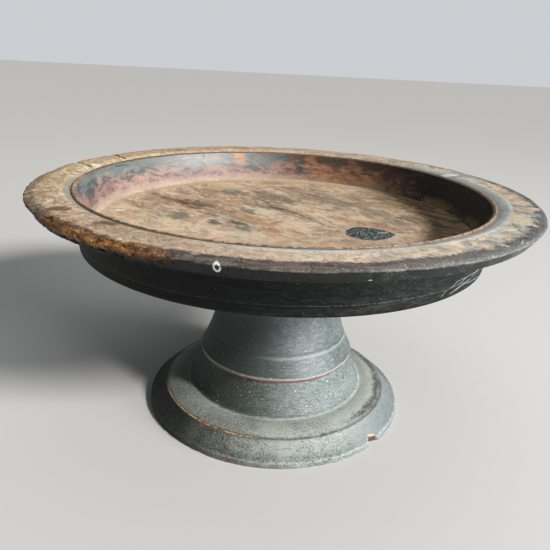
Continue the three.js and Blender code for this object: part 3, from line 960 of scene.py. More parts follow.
# Finish of the well's floor: bare wood with stains and worn streaks along the grain
floorFinish = {
    "darkWood": (0.20, 0.125, 0.082),
    "midWood": (0.395, 0.255, 0.152),
    "paleWood": (0.57, 0.400, 0.248),
    "dust": (0.84, 0.655, 0.47),
    "paleTowards": (-0.25, -0.97, 0.0),
    "crack": (0.105, 0.065, 0.045),
    "pit": (0.135, 0.085, 0.055),
    "fleck": (0.74, 0.62, 0.47),
    "halo": (0.64, 0.49, 0.365),
    "haloPlace": (0.079, -0.043),
    "paleRing": (0.44, 0.34, 0.25),
    "paleRingRadius": 0.163,
    # painted shadow of the right lip on the floor: dark brown streaked with gold
    "lipShadowDark": (0.055, 0.036, 0.022),
    "gold": (0.30, 0.185, 0.070),
    "lipShadowRadius": 0.136,
    # strokes along the grain: scale, length, share they cover, strength, colour
    "strokes": [
        (13.0, 1.3, 0.42, 0.72, (0.265, 0.175, 0.122)),
        (19.0, 1.4, 0.45, 0.72, (0.74, 0.560, 0.380)),
        (27.0, 1.4, 0.34, 0.72, (0.48, 0.265, 0.140)),
        (36.0, 1.6, 0.30, 0.70, (0.250, 0.215, 0.160)),
        (70.0, 1.6, 0.32, 0.40, (0.80, 0.625, 0.44)),
        (96.0, 1.8, 0.29, 0.38, (0.170, 0.098, 0.062)),
        (150.0, 2.2, 0.30, 0.32, (0.80, 0.635, 0.455)),
        (210.0, 3.0, 0.24, 0.36, (0.130, 0.080, 0.055)),
    ],
    "stainPull": 2.0,        # how far a stain's ragged edge is pulled along the grain
    # stains: centre, half size along the grain, half size across it, strength, colour
    "stains": [
        ((-0.0880, 0.0315), 0.0170, 0.0095, 0.90, (0.085, 0.062, 0.050)),
        ((-0.1000, 0.0345), 0.0080, 0.0030, 0.90, (0.030, 0.026, 0.022)),
        ((-0.1190, 0.0500), 0.0260, 0.0045, 0.75, (0.125, 0.068, 0.042)),
        ((-0.0974, -0.0160), 0.0130, 0.0070, 0.80, (0.130, 0.145, 0.105)),
        ((-0.0580, 0.1012), 0.0140, 0.0110, 0.85, (0.105, 0.125, 0.125)),
        ((-0.0700, 0.1250), 0.0200, 0.0120, 0.75, (0.56, 0.41, 0.22)),
        ((-0.0296, 0.0150), 0.0085, 0.0065, 0.85, (0.095, 0.140, 0.095)),
        ((-0.0610, -0.0320), 0.0090, 0.0055, 0.85, (0.085, 0.110, 0.090)),
        ((-0.0420, -0.0290), 0.0100, 0.0036, 0.90, (0.060, 0.078, 0.066)),
        ((-0.0330, -0.0460), 0.0130, 0.0042, 0.80, (0.095, 0.120, 0.100)),
        ((-0.0150, 0.0165), 0.0200, 0.0085, 0.85, (0.68, 0.57, 0.42)),
        ((-0.0073, 0.0338), 0.0090, 0.0026, 0.90, (0.055, 0.072, 0.062)),
        ((-0.0100, 0.0800), 0.0300, 0.0105, 0.70, (0.165, 0.092, 0.060)),
        ((0.0150, 0.1180), 0.0280, 0.0110, 0.60, (0.190, 0.120, 0.085)),
        ((-0.0280, -0.0150), 0.0260, 0.0070, 0.65, (0.42, 0.205, 0.090)),
        ((-0.0097, -0.0478), 0.0100, 0.0040, 0.75, (0.40, 0.180, 0.085)),
        ((-0.0313, -0.0685), 0.0160, 0.0090, 0.60, (0.66, 0.54, 0.39)),
        ((0.0500, 0.0780), 0.0300, 0.0140, 0.60, (0.185, 0.150, 0.120)),
        ((0.0963, 0.0312), 0.0240, 0.0110, 0.60, (0.170, 0.165, 0.125)),
        ((0.1240, 0.0140), 0.0100, 0.0040, 0.70, (0.120, 0.095, 0.070)),
        ((-0.1553, -0.0063), 0.0036, 0.0030, 0.95, (0.80, 0.72, 0.58)),
    ],
}


def makeFloorMaterial():
    f, d = floorFinish, dish
    material, place = startMaterial("wellFloor")
    at = turnedPlace(place)
    grain = slabGrain(place, f["darkWood"], f["midWood"], f["paleWood"])
    colour = addStrokes(place, grain["colour"], f["strokes"])
    # the floor is made paler towards the front
    dusty = vectors("DOT_PRODUCT", place, f["paleTowards"]) + wandering(place, 30.0, 0.18)
    colour = mixed(span(dusty, 0.0, 0.13, 0.0, 0.50), colour, f["dust"])
    pull = f["stainPull"]
    pulled = stretched(place, (pull, 1.0, 1.0), grainTurn)
    c, s = math.cos(-grainTurn), math.sin(-grainTurn)
    for (x, y), long, across, strength, tone in f["stains"]:
        centre = ((x * c - y * s) / pull, x * s + y * c, d["floorLevel"])
        spot = stain(pulled, centre, (1.6 * long / pull, 1.7 * across, 0.01), 3.2, 0.65)
        colour = mixed(spot * strength, colour, tone)
    crack = crackLine(place, *dishWear["floorCrack"], 0.0014, 0.004)
    crack = crack * span(speckle(place, 60.0, 3.0), 0.38, 0.5)
    colour = mixed(crack * 0.8, colour, f["crack"])
    bits = speckle(place, 420.0, 4.0, 0.75)
    colour = mixed(span(bits, 0.58, 0.68, 0.0, 0.6), colour, f["pit"])
    colour = mixed(span(bits, 0.42, 0.34, 0.0, 0.6), colour, f["fleck"])
    halo = span(vectors("DISTANCE", place, (*f["haloPlace"], d["floorLevel"])), 0.024, 0.031, 1.0, 0.0)
    colour = mixed(halo * span(bits, 0.40, 0.55, 0.0, 0.7), colour, f["halo"])
    wobble = wandering(place, 55.0, 0.014)
    paleRing = ring(at["radius"], f["paleRingRadius"], 0.19, 0.004, wobble)
    colour = mixed(paleRing * span(bits, 0.38, 0.55), colour, f["paleRing"])
    # painted shadow of the right lip on the floor near the wall, dark brown streaked with gold
    gold = ring(at["radius"], f["lipShadowRadius"], 0.19, 0.014, wobble) * towards(at, 8.0, 0.60, 0.92)
    colour = mixed(gold * 0.85, colour, mixed(span(grain["streak"], 0.45, 0.56), f["lipShadowDark"], f["gold"]))
    relief = bits * 0.5 + grain["height"] * 0.6 - crack * 1.2
    return finishMaterial(material, colour, grain["height"] * 0.25 + 0.5, relief, 0.6, 0.0013, 0.4)


# Finish of the dish's outside and underside: near-black lacquer with scratches and specks
underFinish = {
    "lacquer": (0.0030, 0.0034, 0.0032),
    "dull": (0.0095, 0.0115, 0.0108),
    "dust": (0.038, 0.048, 0.045),
    "rightDustAndSheen": (0.034, 0.044, 0.042),
    "ridge": (0.14, 0.16, 0.15),
    "speck": (0.30, 0.34, 0.31),
    "scratches": {
        "halfWidth": 0.0005,
        "colour": (0.25, 0.29, 0.275),
        # start and end: degrees, height
        "ends": [((-50.0, 0.1766), (-45.2, 0.1854)), ((-45.2, 0.1854), (-33.0, 0.1850)),
                 ((-48.2, 0.1750), (-40.5, 0.1786)), ((-41.0, 0.1782), (-29.8, 0.1754)),
                 ((-50.5, 0.1750), (-47.2, 0.1830)), ((-47.5, 0.1794), (-41.2, 0.1846)),
                 ((-45.2, 0.1774), (-37.0, 0.1798)), ((-38.0, 0.1830), (-27.0, 0.1870))],
    },
}


def makeUnderMaterial():
    f = underFinish
    material, place = startMaterial("blackUnderside")
    at = turnedPlace(place)
    streaks = speckle(at["lathe"], 420.0, 5.0, 0.70, 0.2)
    bits = speckle(place, 620.0, 4.0, 0.74)
    blotch = speckle(at["lathe"], 60.0, 6.0, 0.70)
    colour = mixed(span(streaks, 0.42, 0.62), f["lacquer"], f["dull"])
    # dust and painted sheen: the lacquer is dustier and paler, with teal streaks, towards the lit right
    right = towards(at, -30.0, 0.35, 0.98)
    dusty = span(blotch, 0.46, 0.62) * span(bits, 0.46, 0.62) * (right * 0.45 + 0.08)
    colour = mixed(dusty, colour, f["dust"])
    colour = mixed(right * span(streaks, 0.52, 0.62, 0.0, 0.35), colour, f["rightDustAndSheen"])
    colour = addScratches(at, colour, f["scratches"], 0.65)
    # painted highlight along the ridge, strongest on the right
    away = abs(at["height"] - (dish["underside"] + dish["ridgeRise"]))
    ridge = span(away, 0.0002, 0.0010, 1.0, 0.0) * span(bits, 0.44, 0.56) * (right * 0.4 + 0.14)
    colour = mixed(ridge, colour, f["ridge"])
    specks = dustSpecks(place, (190.0, 0.05, 0.22), (520.0, 0.07, 0.34), 0.5)
    colour = mixed(specks * 0.7, colour, f["speck"])
    rough = span(streaks, 0.3, 0.7, 0.50, 0.66)
    return finishMaterial(material, colour, rough, streaks + bits, 0.35, 0.0008, 0.14)


# Finish of the stem and foot: slate lacquer under a film of dust
dustFinish = {
    "lacquer": (0.044, 0.058, 0.056),
    "dust": (0.190, 0.222, 0.214),
    "stemTint": (0.054, 0.071, 0.075),
    "pale": (0.34, 0.37, 0.335),
    # green is the painted shade on the left of the stem and foot
    "green": (0.025, 0.030, 0.023),
    "pit": (0.024, 0.029, 0.027),
    "speck": (0.70, 0.74, 0.72),
    "paintedShade": (0.012, 0.015, 0.012),
    "fadedLine": (0.26, 0.26, 0.22),
    "paleLine": (0.36, 0.39, 0.36),
    "redLine": (0.235, 0.070, 0.058),
    "stemGrooveShade": (0.03, 0.034, 0.033),
}


def dustyColours(place, at):
    f = dustFinish
    rings = speckle(at["lathe"], 620.0, 4.0, 0.70, 0.1)
    cloud = speckle(place, 17.0, 6.0, 0.62, 0.6)
    fine = speckle(place, 760.0, 4.0, 0.78)
    film = cloud * 0.26 + rings * 0.34 + fine * 0.40
    colour = mixed(span(film, 0.42, 0.58), f["lacquer"], f["dust"])
    colour = mixed(wornAway(place, 210.0, 0.32, 1.8, 0.06) * 0.5, colour, f["pit"])
    # painted shade: darker and greener towards the left, the side away from the lamps
    left = towards(at, 203.0, 0.05, 0.80, (cloud - 0.5) * 0.9) * span(fine, 0.58, 0.66, 0.80, 0.45)
    colour = mixed(left, colour, f["green"])
    specks = dustSpecks(place, (260.0, 0.34, 0.17), (520.0, 0.17, 0.34), 0.7)
    colour = mixed(specks * 0.8, colour, f["speck"])
    return colour, rings * 0.7 + fine * 0.6, fine, cloud


def makeStemMaterial():
    f = dustFinish
    material, place = startMaterial("dustyStem")
    at = turnedPlace(place, 0.015)
    colour, relief, fine = dustyColours(place, at)[:3]
    rings = speckle(at["lathe"], 640.0, 5.0, 0.72)
    colour = mixed(span(rings, 0.42, 0.60, 0.70, 0.20), colour, f["stemTint"])
    # painted shade: the stem is darkened further on its left, away from the lamps
    paintedShadeMask = towards(at, 200.0, -0.05, 0.65, wandering(place, 30.0, 0.3))
    colour = mixed(paintedShadeMask * 0.5, colour, f["paintedShade"])
    # red line on the collar's lip, faded behind, with a pale line above it
    level = at["height"] + wandering(place, 160.0, 0.0012)
    lip = stem["seat"]
    front = towards(at, -58.0, 0.0, 0.5, wandering(place, 40.0, 0.5))
    band = span(level, lip + 0.0026, lip + 0.0033, 1.0, 0.0) * span(level, lip, lip + 0.0005)
    colour = mixed(band * (1.0 - front) * span(fine, 0.42, 0.54), colour, f["fadedLine"])
    pale = span(level, lip + 0.0028, lip + 0.0034) * span(level, lip + 0.0048, lip + 0.0060, 1.0, 0.0)
    colour = mixed(pale * span(fine, 0.40, 0.52, 0.4, 1.0) * 0.7, colour, f["paleLine"])
    red = band * (1.0 - wornAway(place, 75.0, 0.34, 1.2, 0.06) * 0.6) * front
    colour = mixed(red * 0.9, colour, f["redLine"])
    # painted shade in the groove on the cone, and a painted highlight on the ledge under it, both stronger
    # on the right
    away = at["height"] - (lip + stem["ringRise"])
    right = towards(at, -40.0, 0.3, 0.9)
    ledgeHighlight = span(abs(away + 0.0026), 0.0004, 0.0018, 1.0, 0.0) * right
    colour = mixed(ledgeHighlight * 0.35, colour, f["pale"])
    groove = span(abs(away), 0.0002, 0.0009, 1.0, 0.0) * (right * 0.4 + 0.12)
    colour = mixed(groove, colour, f["stemGrooveShade"])
    return finishMaterial(material, colour, span(fine, 0.3, 0.7, 0.42, 0.60), relief, 0.5, 0.0007, 0.45)


# What the foot has besides the dusty lacquer
footFinish = {
    "bandDust": (0.40, 0.425, 0.38),
    "dustRadius": 0.0895,
    # painted highlight round the cove at the foot of the drum
    "cove": (0.50, 0.54, 0.50),
    "coveInner": 0.0884,
    "coveOuter": 0.0914,
    "smear": (0.40, 0.42, 0.375),
    "smooth": (0.17, 0.195, 0.20),
    "grime": (0.026, 0.023, 0.017),
    "grimeInner": 0.1040,
    "grimeOuter": 0.1125,
    "groove": (0.03, 0.032, 0.029),
    "orangeDark": (0.20, 0.095, 0.042),
    "orange": (0.62, 0.43, 0.22),
    "rubbed": (0.17, 0.080, 0.060),
    "corner": (0.36, 0.41, 0.41),
    "hollow": (0.12, 0.080, 0.055),
    # small marks: centre, size, colour
    "marks": [
        ((-0.0613, -0.0945, 0.0185), (0.0022, 0.0022, 0.002), (0.42, 0.075, 0.070)),
        ((-0.0300, -0.1215, 0.0120), (0.009, 0.004, 0.004), (0.36, 0.30, 0.18)),
    ],
}


def makeFootMaterial():
    f, d = footFinish, foot
    material, place = startMaterial("dustyFoot")
    at = turnedPlace(place, 0.025)
    colour, relief, fine, cloud = dustyColours(place, at)
    radius, height = at["radius"], at["height"]
    wobble = wandering(place, 130.0, 0.006)
    bits = speckle(place, 260.0, 4.0, 0.7)
    onTop = span(height, 0.004, 0.008)
    bandEdge = d["bandOuterRadius"]
    # dust lying on the band, and a painted highlight: a pale line round the cove at the foot of the drum,
    # fainter on the left
    lying = ring(radius, f["dustRadius"], bandEdge - 0.001, 0.0020, wobble) * onTop
    lying = lying * span(cloud * 0.4 + fine, 0.56, 0.80, 0.2, 0.85)
    lying = lying * (1.0 - towards(at, 190.0, 0.2, 0.9) * 0.1)
    colour = mixed(lying, colour, f["bandDust"])
    cove = ring(radius, f["coveInner"], f["coveOuter"], 0.0014, wobble * 0.4) * onTop
    cove = cove * span(fine, 0.38, 0.56, 0.35, 0.75) * (1.0 - towards(at, 200.0, 0.0, 0.7) * 0.6)
    colour = mixed(cove, colour, f["cove"])
    # skirt: painted shade on the left, pale dusty smears in front, smooth on the right
    skirt = ring(radius, bandEdge + 0.001, 0.14, 0.002)
    paintedShadeMask = skirt * towards(at, 205.0, 0.1, 0.8, wandering(place, 30.0, 0.3))
    colour = mixed(paintedShadeMask * 0.55, colour, dustFinish["paintedShade"])
    smear = span(speckle(place, 32.0, 6.0, 0.74, 0.5) * 0.6 + fine * 0.7, 0.50, 0.76) * skirt
    smear = smear * towards(at, -80.0, 0.55, 0.92) * span(radius, 0.127, 0.121, 0.55, 1.0)
    colour = mixed(smear * 0.66, colour, f["smear"])
    smooth = skirt * towards(at, -22.0, 0.72, 0.95, wandering(place, 40.0, 0.3))
    colour = mixed(smooth * 0.6, colour, f["smooth"])
    # black grime along the band's right side, and in the groove at its edge
    grime = ring(radius, f["grimeInner"], f["grimeOuter"], 0.0045, wobble * 1.8)
    grime = grime * towards(at, -8.0, 0.45, 0.95) * onTop
    grime = span(grime * 0.30 + fine, 0.64, 0.80) * span(grime, 0.0, 0.3, 0.0, 0.9)
    colour = mixed(grime, colour, f["grime"])
    groove = ring(radius, bandEdge - 0.0008, bandEdge + 0.0008, 0.0006, wobble * 0.12)
    colour = mixed(groove * onTop * span(fine, 0.3, 0.6, 0.6, 0.3), colour, f["groove"])
    # lacquer worn off the groove to orange wood at the front left
    worn = ring(radius, bandEdge - 0.0004, bandEdge + 0.0008, 0.0005, wobble * 0.35) * onTop
    worn = worn * towards(at, -131.0, 0.78, 0.90) * span(bits, 0.30, 0.42, 0.35, 1.0)
    colour = mixed(worn, colour, mixed(span(bits, 0.44, 0.58), f["orangeDark"], f["orange"]))
    # bottom edge rubbed to brown in places; its upper corner paler towards the front right
    rub = span(wobble * 0.4 + height, 0.0006, 0.0026, 1.0, 0.0)
    rub = rub * towards(at, -105.0, 0.88, 0.99) * span(bits, 0.40, 0.52)
    colour = mixed(rub * 0.7, colour, f["rubbed"])
    corner = span(abs(height - (d["edgeThickness"] - 0.0004)), 0.0003, 0.0016, 1.0, 0.0)
    corner = corner * span(radius, 0.126, 0.128) * towards(at, -55.0, 0.2, 0.8) * span(fine, 0.4, 0.55)
    colour = mixed(corner * 0.6, colour, f["corner"])
    under = span(height, 0.0118, 0.0125, 1.0, 0.0) * span(radius, 0.1185, 0.1195, 1.0, 0.0)
    colour = mixed(under, colour, f["hollow"])
    colour = addMarks(place, colour, f["marks"], 0.75)
    return finishMaterial(material, colour, span(cloud, 0.3, 0.7, 0.48, 0.64), relief, 0.55, 0.0008, 0.4)


# Fresh or hidden wood: the sockets and tenons, and the broken edge of the foot
hiddenWood = {"dark": (0.16, 0.10, 0.06), "middle": (0.32, 0.22, 0.14), "pale": (0.50, 0.37, 0.25)}
# the broken wood's grime colour is painted shade on the lower part of the chip
brokenWood = {"dark": (0.16, 0.085, 0.058), "middle": (0.38, 0.235, 0.170), "pale": (0.54, 0.38, 0.295),
              "grime": (0.040, 0.020, 0.014), "shadeBelowHeight": 0.0052}


def makeCutWood(name, f, strength):
    material, place = startMaterial(name)
    grain = slabGrain(place, f["dark"], f["middle"], f["pale"], 1.6)
    bits = speckle(place, 900.0, 4.0, 0.7)
    colour = grain["colour"]
    if "grime" in f:
        # painted shade: the broken face is darkened below a height, where the chip lies in shade
        height = out(put("ShaderNodeSeparateXYZ", {0: place}), 2) + wandering(place, 300.0, 0.002)
        lowerShade = span(height, f["shadeBelowHeight"] - 0.0006, f["shadeBelowHeight"] + 0.0006, 0.9, 0.0)
        colour = mixed(lowerShade, colour, f["grime"])
    return finishMaterial(material, colour, span(bits, 0.3, 0.7, 0.6, 0.8), grain["height"] + bits, strength)


# Finish of the filler patch: near-black, gritty and full of pale specks
fillerFinish = {
    "dark": (0.003, 0.0045, 0.004),
    "grit": (0.095, 0.120, 0.108),
    "green": (0.020, 0.031, 0.022),
    "speck": (0.36, 0.43, 0.42),
    "largeSpeck": (0.62, 0.68, 0.66),
    "lines": [((0.0865, -0.0385, 0.1916), (0.0955, -0.0362, 0.1916), 0.0015, (0.62, 0.66, 0.60))],
}


def makeFillerMaterial():
    f = fillerFinish
    material, place = startMaterial("speckledFiller")
    grit = speckle(place, 470.0, 5.0, 0.85)
    colour = mixed(span(grit, 0.46, 0.56), f["dark"], f["grit"])
    colour = mixed(span(speckle(place, 130.0, 5.0, 0.6), 0.48, 0.66, 0.0, 0.6), colour, f["green"])
    colour = mixed(paleSpecks(place, 700.0, 0.60, 0.42), colour, f["speck"])
    colour = mixed(paleSpecks(place, 330.0, 0.22, 0.26), colour, f["largeSpeck"])
    colour = addLines(place, colour, f["lines"])
    return finishMaterial(material, colour, span(grit, 0.3, 0.7, 0.5, 0.75), grit, 0.8)


bambooFinish = {"dark": (0.34, 0.24, 0.11), "pale": (0.60, 0.48, 0.27)}


def makeBambooMaterial():
    material, place = startMaterial("splitBamboo")
    fibres = speckle(stretched(place, (1.0, 1.0, 9.0)), 1500.0, 3.0, 0.6)
    colour = mixed(span(fibres, 0.35, 0.65), bambooFinish["dark"], bambooFinish["pale"])
    return finishMaterial(material, colour, span(fibres, 0.3, 0.7, 0.5, 0.7), fibres, 0.4, 0.0005)


finishes = {
    "rim": makeRimMaterial(),
    "bead": makeBeadMaterial(),
    "wall": makeWallMaterial(),
    "floor": makeFloorMaterial(),
    "under": makeUnderMaterial(),
    "stem": makeStemMaterial(),
    "foot": makeFootMaterial(),
    "socket": makeCutWood("hiddenWood", hiddenWood, 0.3),
    "broken": makeCutWood("brokenWood", brokenWood, 0.9),
    "filler": makeFillerMaterial(),
    "bamboo": makeBambooMaterial(),
}
print("pedestal dish: materials ready")


dishPiece = turnOutline("turnedDish", dishOutline(), dish["sides"], reshapeDish,
                        ("rim", "bead", "wall", "floor", "under", "socket"))
print("pedestal dish: dish turned")


def stemOutline():
    s = stem
    seat, top = s["seat"], s["top"]
    bottom, tip = stemLow.z, stemHigh.z
    path = Outline(0.0, bottom)
    path.line(s["lowerTenonRadius"] - s["chamfer"], bottom, 4, "socket")
    path.line(s["lowerTenonRadius"], bottom + s["chamfer"], 2, "socket")
    path.line(s["lowerTenonRadius"], seat, 6, "socket")
    path.line(s["collarRadius"] - s["collarUndercut"], seat, 4, "stem")
    path.curve(s["collarRadius"] + s["collarBulge"], seat + s["collarTurnRise"],
               s["collarRadius"], seat + s["collarRise"], 10, "stem")
    path.curve(s["waistRadius"], seat + s["coneTurnRise"],
               s["waistRadius"], seat + s["waistRise"], 64, "stem")
    path.curve(s["waistRadius"], seat + s["neckTurnRise"], s["neckRadius"], top, 24, "stem")
    path.line(s["upperTenonRadius"], top, 4, "stem")
    path.line(s["upperTenonRadius"], tip - s["chamfer"], 3, "socket")
    path.line(s["upperTenonRadius"] - s["chamfer"], tip, 2, "socket")
    path.line(0.0, tip, 3, "socket")
    return path


stemWear = {
    "lipLoss": 0.0005,
    "faceLoss": 0.0003,
}


def reshapeStem(r, angle, z):
    s, wear = stem, stemWear
    x, y = r * np.cos(angle), r * np.sin(angle)
    away = np.abs(z - s["seat"] - s["ringRise"])
    shown = ramp(r, s["lowerTenonRadius"] + 0.004, s["lowerTenonRadius"] + 0.008)
    newR = r - s["ringDepth"] * (1 - ramp(away, 0.0, s["ringHalf"])) * shown
    onLip = shown * (1 - ramp(z, s["seat"] + 0.004, s["seat"] + 0.008))
    newR = newR - onLip * wear["lipLoss"] * ramp(wander(x, y, z, 120.0, 2.0), -0.1, 0.6)
    newR = newR - shown * wear["faceLoss"] * ramp(wander(x, y, z, 30.0, 4.0), -0.5, 0.5)
    return newR * np.cos(angle), newR * np.sin(angle), z


stemPiece = turnOutline("turnedStem", stemOutline(), stem["sides"], reshapeStem, ("stem", "socket"))


def footOutline():
    f = foot
    edgeTop, thick = f["edgeRadius"] - f["edgeLean"], f["edgeThickness"]
    ceiling, socket = f["hollowDepth"], f["socketRadius"]
    outer, outerRise = f["bandOuterRadius"], f["bandOuterRise"]
    inner, innerRise = f["bandInnerRadius"], f["bandInnerRise"]
    half, deep = f["grooveWidth"] / 2, f["grooveDepth"]
    drumBase, baseRise = f["drumBaseRadius"], f["drumBaseRise"]
    drumTop, top = f["drumTopRadius"], f["top"]
    path = Outline(socket, ceiling)
    path.line(f["hollowCeilingRadius"], ceiling, 14, "foot")
    path.line(f["hollowRadius"] - f["hollowDraft"], f["hollowShoulder"], 6, "foot")
    path.line(f["hollowRadius"], 0.0, 3, "foot")
    path.line(f["edgeRadius"], 0.0, 6, "foot")
    path.line(edgeTop, thick, 5, "foot")
    path.curve((edgeTop + outer) / 2 - f["skirtDip"], (thick + outerRise) / 2 - f["skirtDip"],
               outer + half, outerRise - deep, 22, "foot")
    path.line(outer - half, outerRise - deep / 2, 3, "foot")
    path.curve((outer + inner) / 2, (outerRise + innerRise) / 2 + 2 * f["bandCrown"],
               inner, innerRise, 24, "foot")
    path.curve(drumBase + f["coveReach"], innerRise, drumBase, baseRise, 10, "foot")
    path.curve((drumBase + drumTop) / 2 - f["drumHollow"], (baseRise + top) / 2,
               drumTop, top, 20, "foot")
    path.line(socket, top, 6, "foot")
    path.line(socket, ceiling, 6, "socket")
    return path


footWear = {
    "edgeLoss": 0.0006,
    "edgeDrop": 0.0005,
    "bandDrop": 0.0004,
    # the chip's depth along its width, as shares of both
    "chipShares": [(-1.0, 0.0), (-0.8, 0.62), (-0.35, 1.0), (0.05, 0.80),
                   (0.5, 0.55), (0.85, 0.25), (1.0, 0.0)],
    "chipRagged": 0.0006,
    "chipSpread": 0.56,      # half width of what shows broken wood, as a share of the chip's width
    "chipInner": 0.1205,
    "chipTop": 0.011,
    "chipInset": 0.0019,
    "chipSteep": 0.62,       # faces that lie flatter than this keep their lacquer
}


def chipLimit(angle, fine):
    f = foot
    across = (angle - math.radians(f["chipAngle"] % 360.0)) * f["edgeRadius"] / (f["chipWidth"] / 2)
    shares = np.array(footWear["chipShares"])
    deep = np.interp(across, shares[:, 0], shares[:, 1], left=0.0, right=0.0)
    ragged = np.where(deep > 0, footWear["chipRagged"] * fine, 0.0)
    return f["edgeRadius"] + 0.001 - deep * (f["chipDepth"] + 0.001) + ragged


def reshapeFoot(r, angle, z):
    f, wear = foot, footWear
    x, y = r * np.cos(angle), r * np.sin(angle)
    lumps = wander(x, y, z, 110.0, 1.0) * 0.6 + wander(x, y, z, 330.0, 9.0) * 0.4
    fine = wander(x, y, z, 700.0, 6.0)
    onEdge = ramp(r, f["edgeRadius"] - 0.005, f["edgeRadius"])
    newR = r - wear["edgeLoss"] * ramp(lumps, -0.1, 0.5) * onEdge
    newZ = z - wear["edgeDrop"] * onEdge * ramp(lumps, 0.0, 0.6) * ramp(z, 0.003, 0.005)
    onBand = ramp(r, f["drumBaseRadius"] + 0.006, f["bandInnerRadius"] + 0.004) * ramp(z, 0.012, 0.016)
    newZ = newZ - wear["bandDrop"] * onBand * ramp(wander(x, y, z, 26.0, 8.0), -0.4, 0.6)
    newR = np.minimum(newR, chipLimit(angle, fine))
    return newR * np.cos(angle), newR * np.sin(angle), newZ


footSkins = ("foot", "socket", "broken")
footPiece = turnOutline("turnedFoot", footOutline(), foot["sides"], reshapeFoot, footSkins, True)


# Broken wood on the steep faces that the chip cut into the edge
def paintChip():
    wear = footWear
    middle = math.radians(foot["chipAngle"])
    outward = Vector((math.cos(middle), math.sin(middle), 0.0))
    for face in footPiece.data.polygons:
        place = face.center
        away = abs(math.atan2(place.y, place.x) - middle) * foot["edgeRadius"]
        inset = foot["edgeRadius"] - wear["chipInset"]
        near = away < foot["chipWidth"] * wear["chipSpread"] and place.z < wear["chipTop"]
        steep = abs(face.normal.z) < wear["chipSteep"] and face.normal.dot(outward) > -0.8
        if near and steep and wear["chipInner"] < place.xy.length < inset:
            face.material_index = footSkins.index("broken")


paintChip()
print("pedestal dish: stem and foot turned")

# Filler patch: a boat shape, blunt on the left, with a ragged edge, in metres
patch = {
    "top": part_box("floor_patch")[1].z,
    "place": (0.0794, -0.0423),
    "half": 0.0238,
    "turn": 10.0,           # degrees from +X to its long way
    "blunt": 0.017,         # its edges steer this far left of its middle, then this far right
    "taper": 0.009,
    "backBlunt": 0.0316,
    "backTaper": 0.0276,
    "front": 0.0256,
    "ragged": 0.0011,
    "raggedScale": 190.0,
    "skirt": 0.0011,        # how deep its edge goes
    "edgeDrop": 0.00016,
    "middleDrop": 0.0001,
    "rough": 0.0002,
    "roughScale": 800.0,
    "steps": 110,           # points along each of its two edges
    "rings": 18,
}


def patchEdge():
    p = patch
    front = [(-p["half"], 0.0), (-p["blunt"], -p["front"]), (p["taper"], -p["front"]), (p["half"], 0.0)]
    back = [(p["half"], 0.0), (p["taper"], p["backTaper"]), (-p["blunt"], p["backBlunt"]), (-p["half"], 0.0)]
    points = []
    for curve in (front, back):
        a, b, c, d = (Vector(point) for point in curve)
        for step in range(p["steps"]):
            t = step / p["steps"]
            points.append(a * (1 - t) ** 3 + b * 3 * t * (1 - t) ** 2 + c * 3 * t * t * (1 - t) + d * t ** 3)
    return points


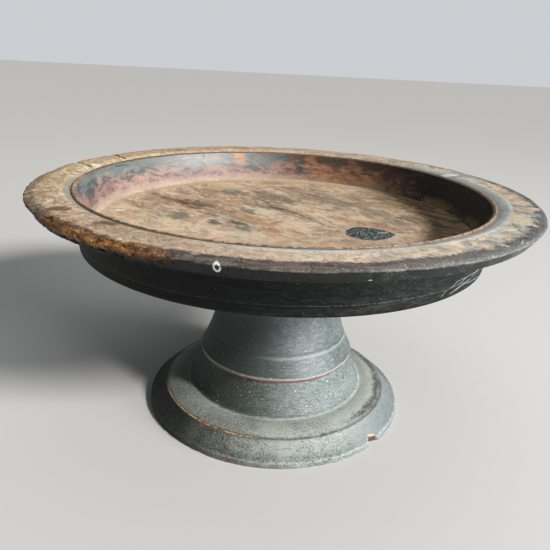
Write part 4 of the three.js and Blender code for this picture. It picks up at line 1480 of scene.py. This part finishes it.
def makePatch():
    p = patch
    shape = bmesh.new()
    top, count = p["top"], p["rings"]
    turn = Matrix.Rotation(math.radians(p["turn"]), 2)
    place = Vector(p["place"])
    edge = []
    for point in patchEdge():
        spot = Vector((point.x * p["raggedScale"], point.y * p["raggedScale"], 1.7))
        bite = p["ragged"] * (noise.noise(spot) * 0.6 + noise.noise(spot * 3.7) * 0.5 + 0.4)
        edge.append(point * (1 - max(bite, 0.0) / point.length))
    rows = []
    for number in range(1, count + 2):
        share = min(number, count) / count
        row = []
        for point in edge:
            inner = point * share
            rough = noise.noise(Vector((inner.x * p["roughScale"], inner.y * p["roughScale"], 0.5)))
            z = top - p["edgeDrop"] * share ** 4 - p["rough"] * (rough * 0.5 + 0.5)
            if number > count:
                z = top - p["skirt"]
            spot = place + turn @ inner
            row.append(shape.verts.new((spot.x, spot.y, z)))
        rows.append(row)
    middle = shape.verts.new((*place, top - p["middleDrop"]))
    base = shape.verts.new((*place, top - p["skirt"]))
    for side in range(len(edge)):
        following = (side + 1) % len(edge)
        shape.faces.new((middle, rows[0][side], rows[0][following]))
        shape.faces.new((base, rows[-1][following], rows[-1][side]))
        for lower, upper in zip(rows, rows[1:]):
            shape.faces.new((lower[side], upper[side], upper[following], lower[following]))
    bmesh.ops.recalc_face_normals(shape, faces=shape.faces)
    mesh = bpy.data.meshes.new("fillerPatch")
    shape.to_mesh(mesh)
    shape.free()
    mesh.materials.append(finishes["filler"])
    mesh.shade_smooth()
    mesh.set_sharp_from_angle(angle=math.radians(50.0))
    piece = bpy.data.objects.new("fillerPatch", mesh)
    bpy.context.scene.collection.objects.link(piece)
    return piece


patchPiece = makePatch()

for piece, node, slot in ((dishPiece, "dish", "worn_wood"), (stemPiece, "stem", "black_lacquer"),
                          (footPiece, "foot", "black_lacquer"), (patchPiece, "floor_patch", "dark_filler")):
    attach(piece, "root")
    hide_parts(node)

for name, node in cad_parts.items():
    if name.startswith(("neck_dowel", "collar_peg")):
        node.data.materials.clear()
        node.data.materials.append(finishes["bamboo"])
print("pedestal dish: pieces placed")


# Studio floor and lights
def makeStudio():
    half = studio["floorHalf"]
    mesh = bpy.data.meshes.new("studioFloor")
    corners = [(-half, -half, 0.0), (half, -half, 0.0), (half, half, 0.0), (-half, half, 0.0)]
    mesh.from_pydata(corners, [], [(0, 1, 2, 3)])
    material = bpy.data.materials.new("paleFloor")
    material.use_nodes = True
    shader = material.node_tree.nodes["Principled BSDF"]
    feed(material.node_tree, shader.inputs["Base Color"], studio["floorColour"])
    shader.inputs["Roughness"].default_value = 0.9
    mesh.materials.append(material)
    floor = bpy.data.objects.new("studioFloor", mesh)
    floor.location.z = -0.0002
    bpy.context.scene.collection.objects.link(floor)
    world = bpy.data.worlds.new("studioWorld")
    world.use_nodes = True
    tree = world.node_tree
    background = tree.nodes["Background"].inputs
    seen = out(tree.nodes.new("ShaderNodeLightPath"), "Is Camera Ray")
    extra = studio["backdropStrength"] - studio["worldStrength"]
    feed(tree, background["Color"], studio["worldColour"])
    feed(tree, background["Strength"], seen * extra + studio["worldStrength"])
    bpy.context.scene.world = world
    sunLight("highLight", studio["highTowards"], studio["highRise"], studio["highSoft"],
             studio["highStrength"], studio["highTint"])
    for lamp in ("low", "top"):
        softLight(lamp + "Light", *(studio[lamp + part] for part in ("Place", "Size", "Power", "Tint")))


makeStudio()
print("pedestal dish: studio ready")
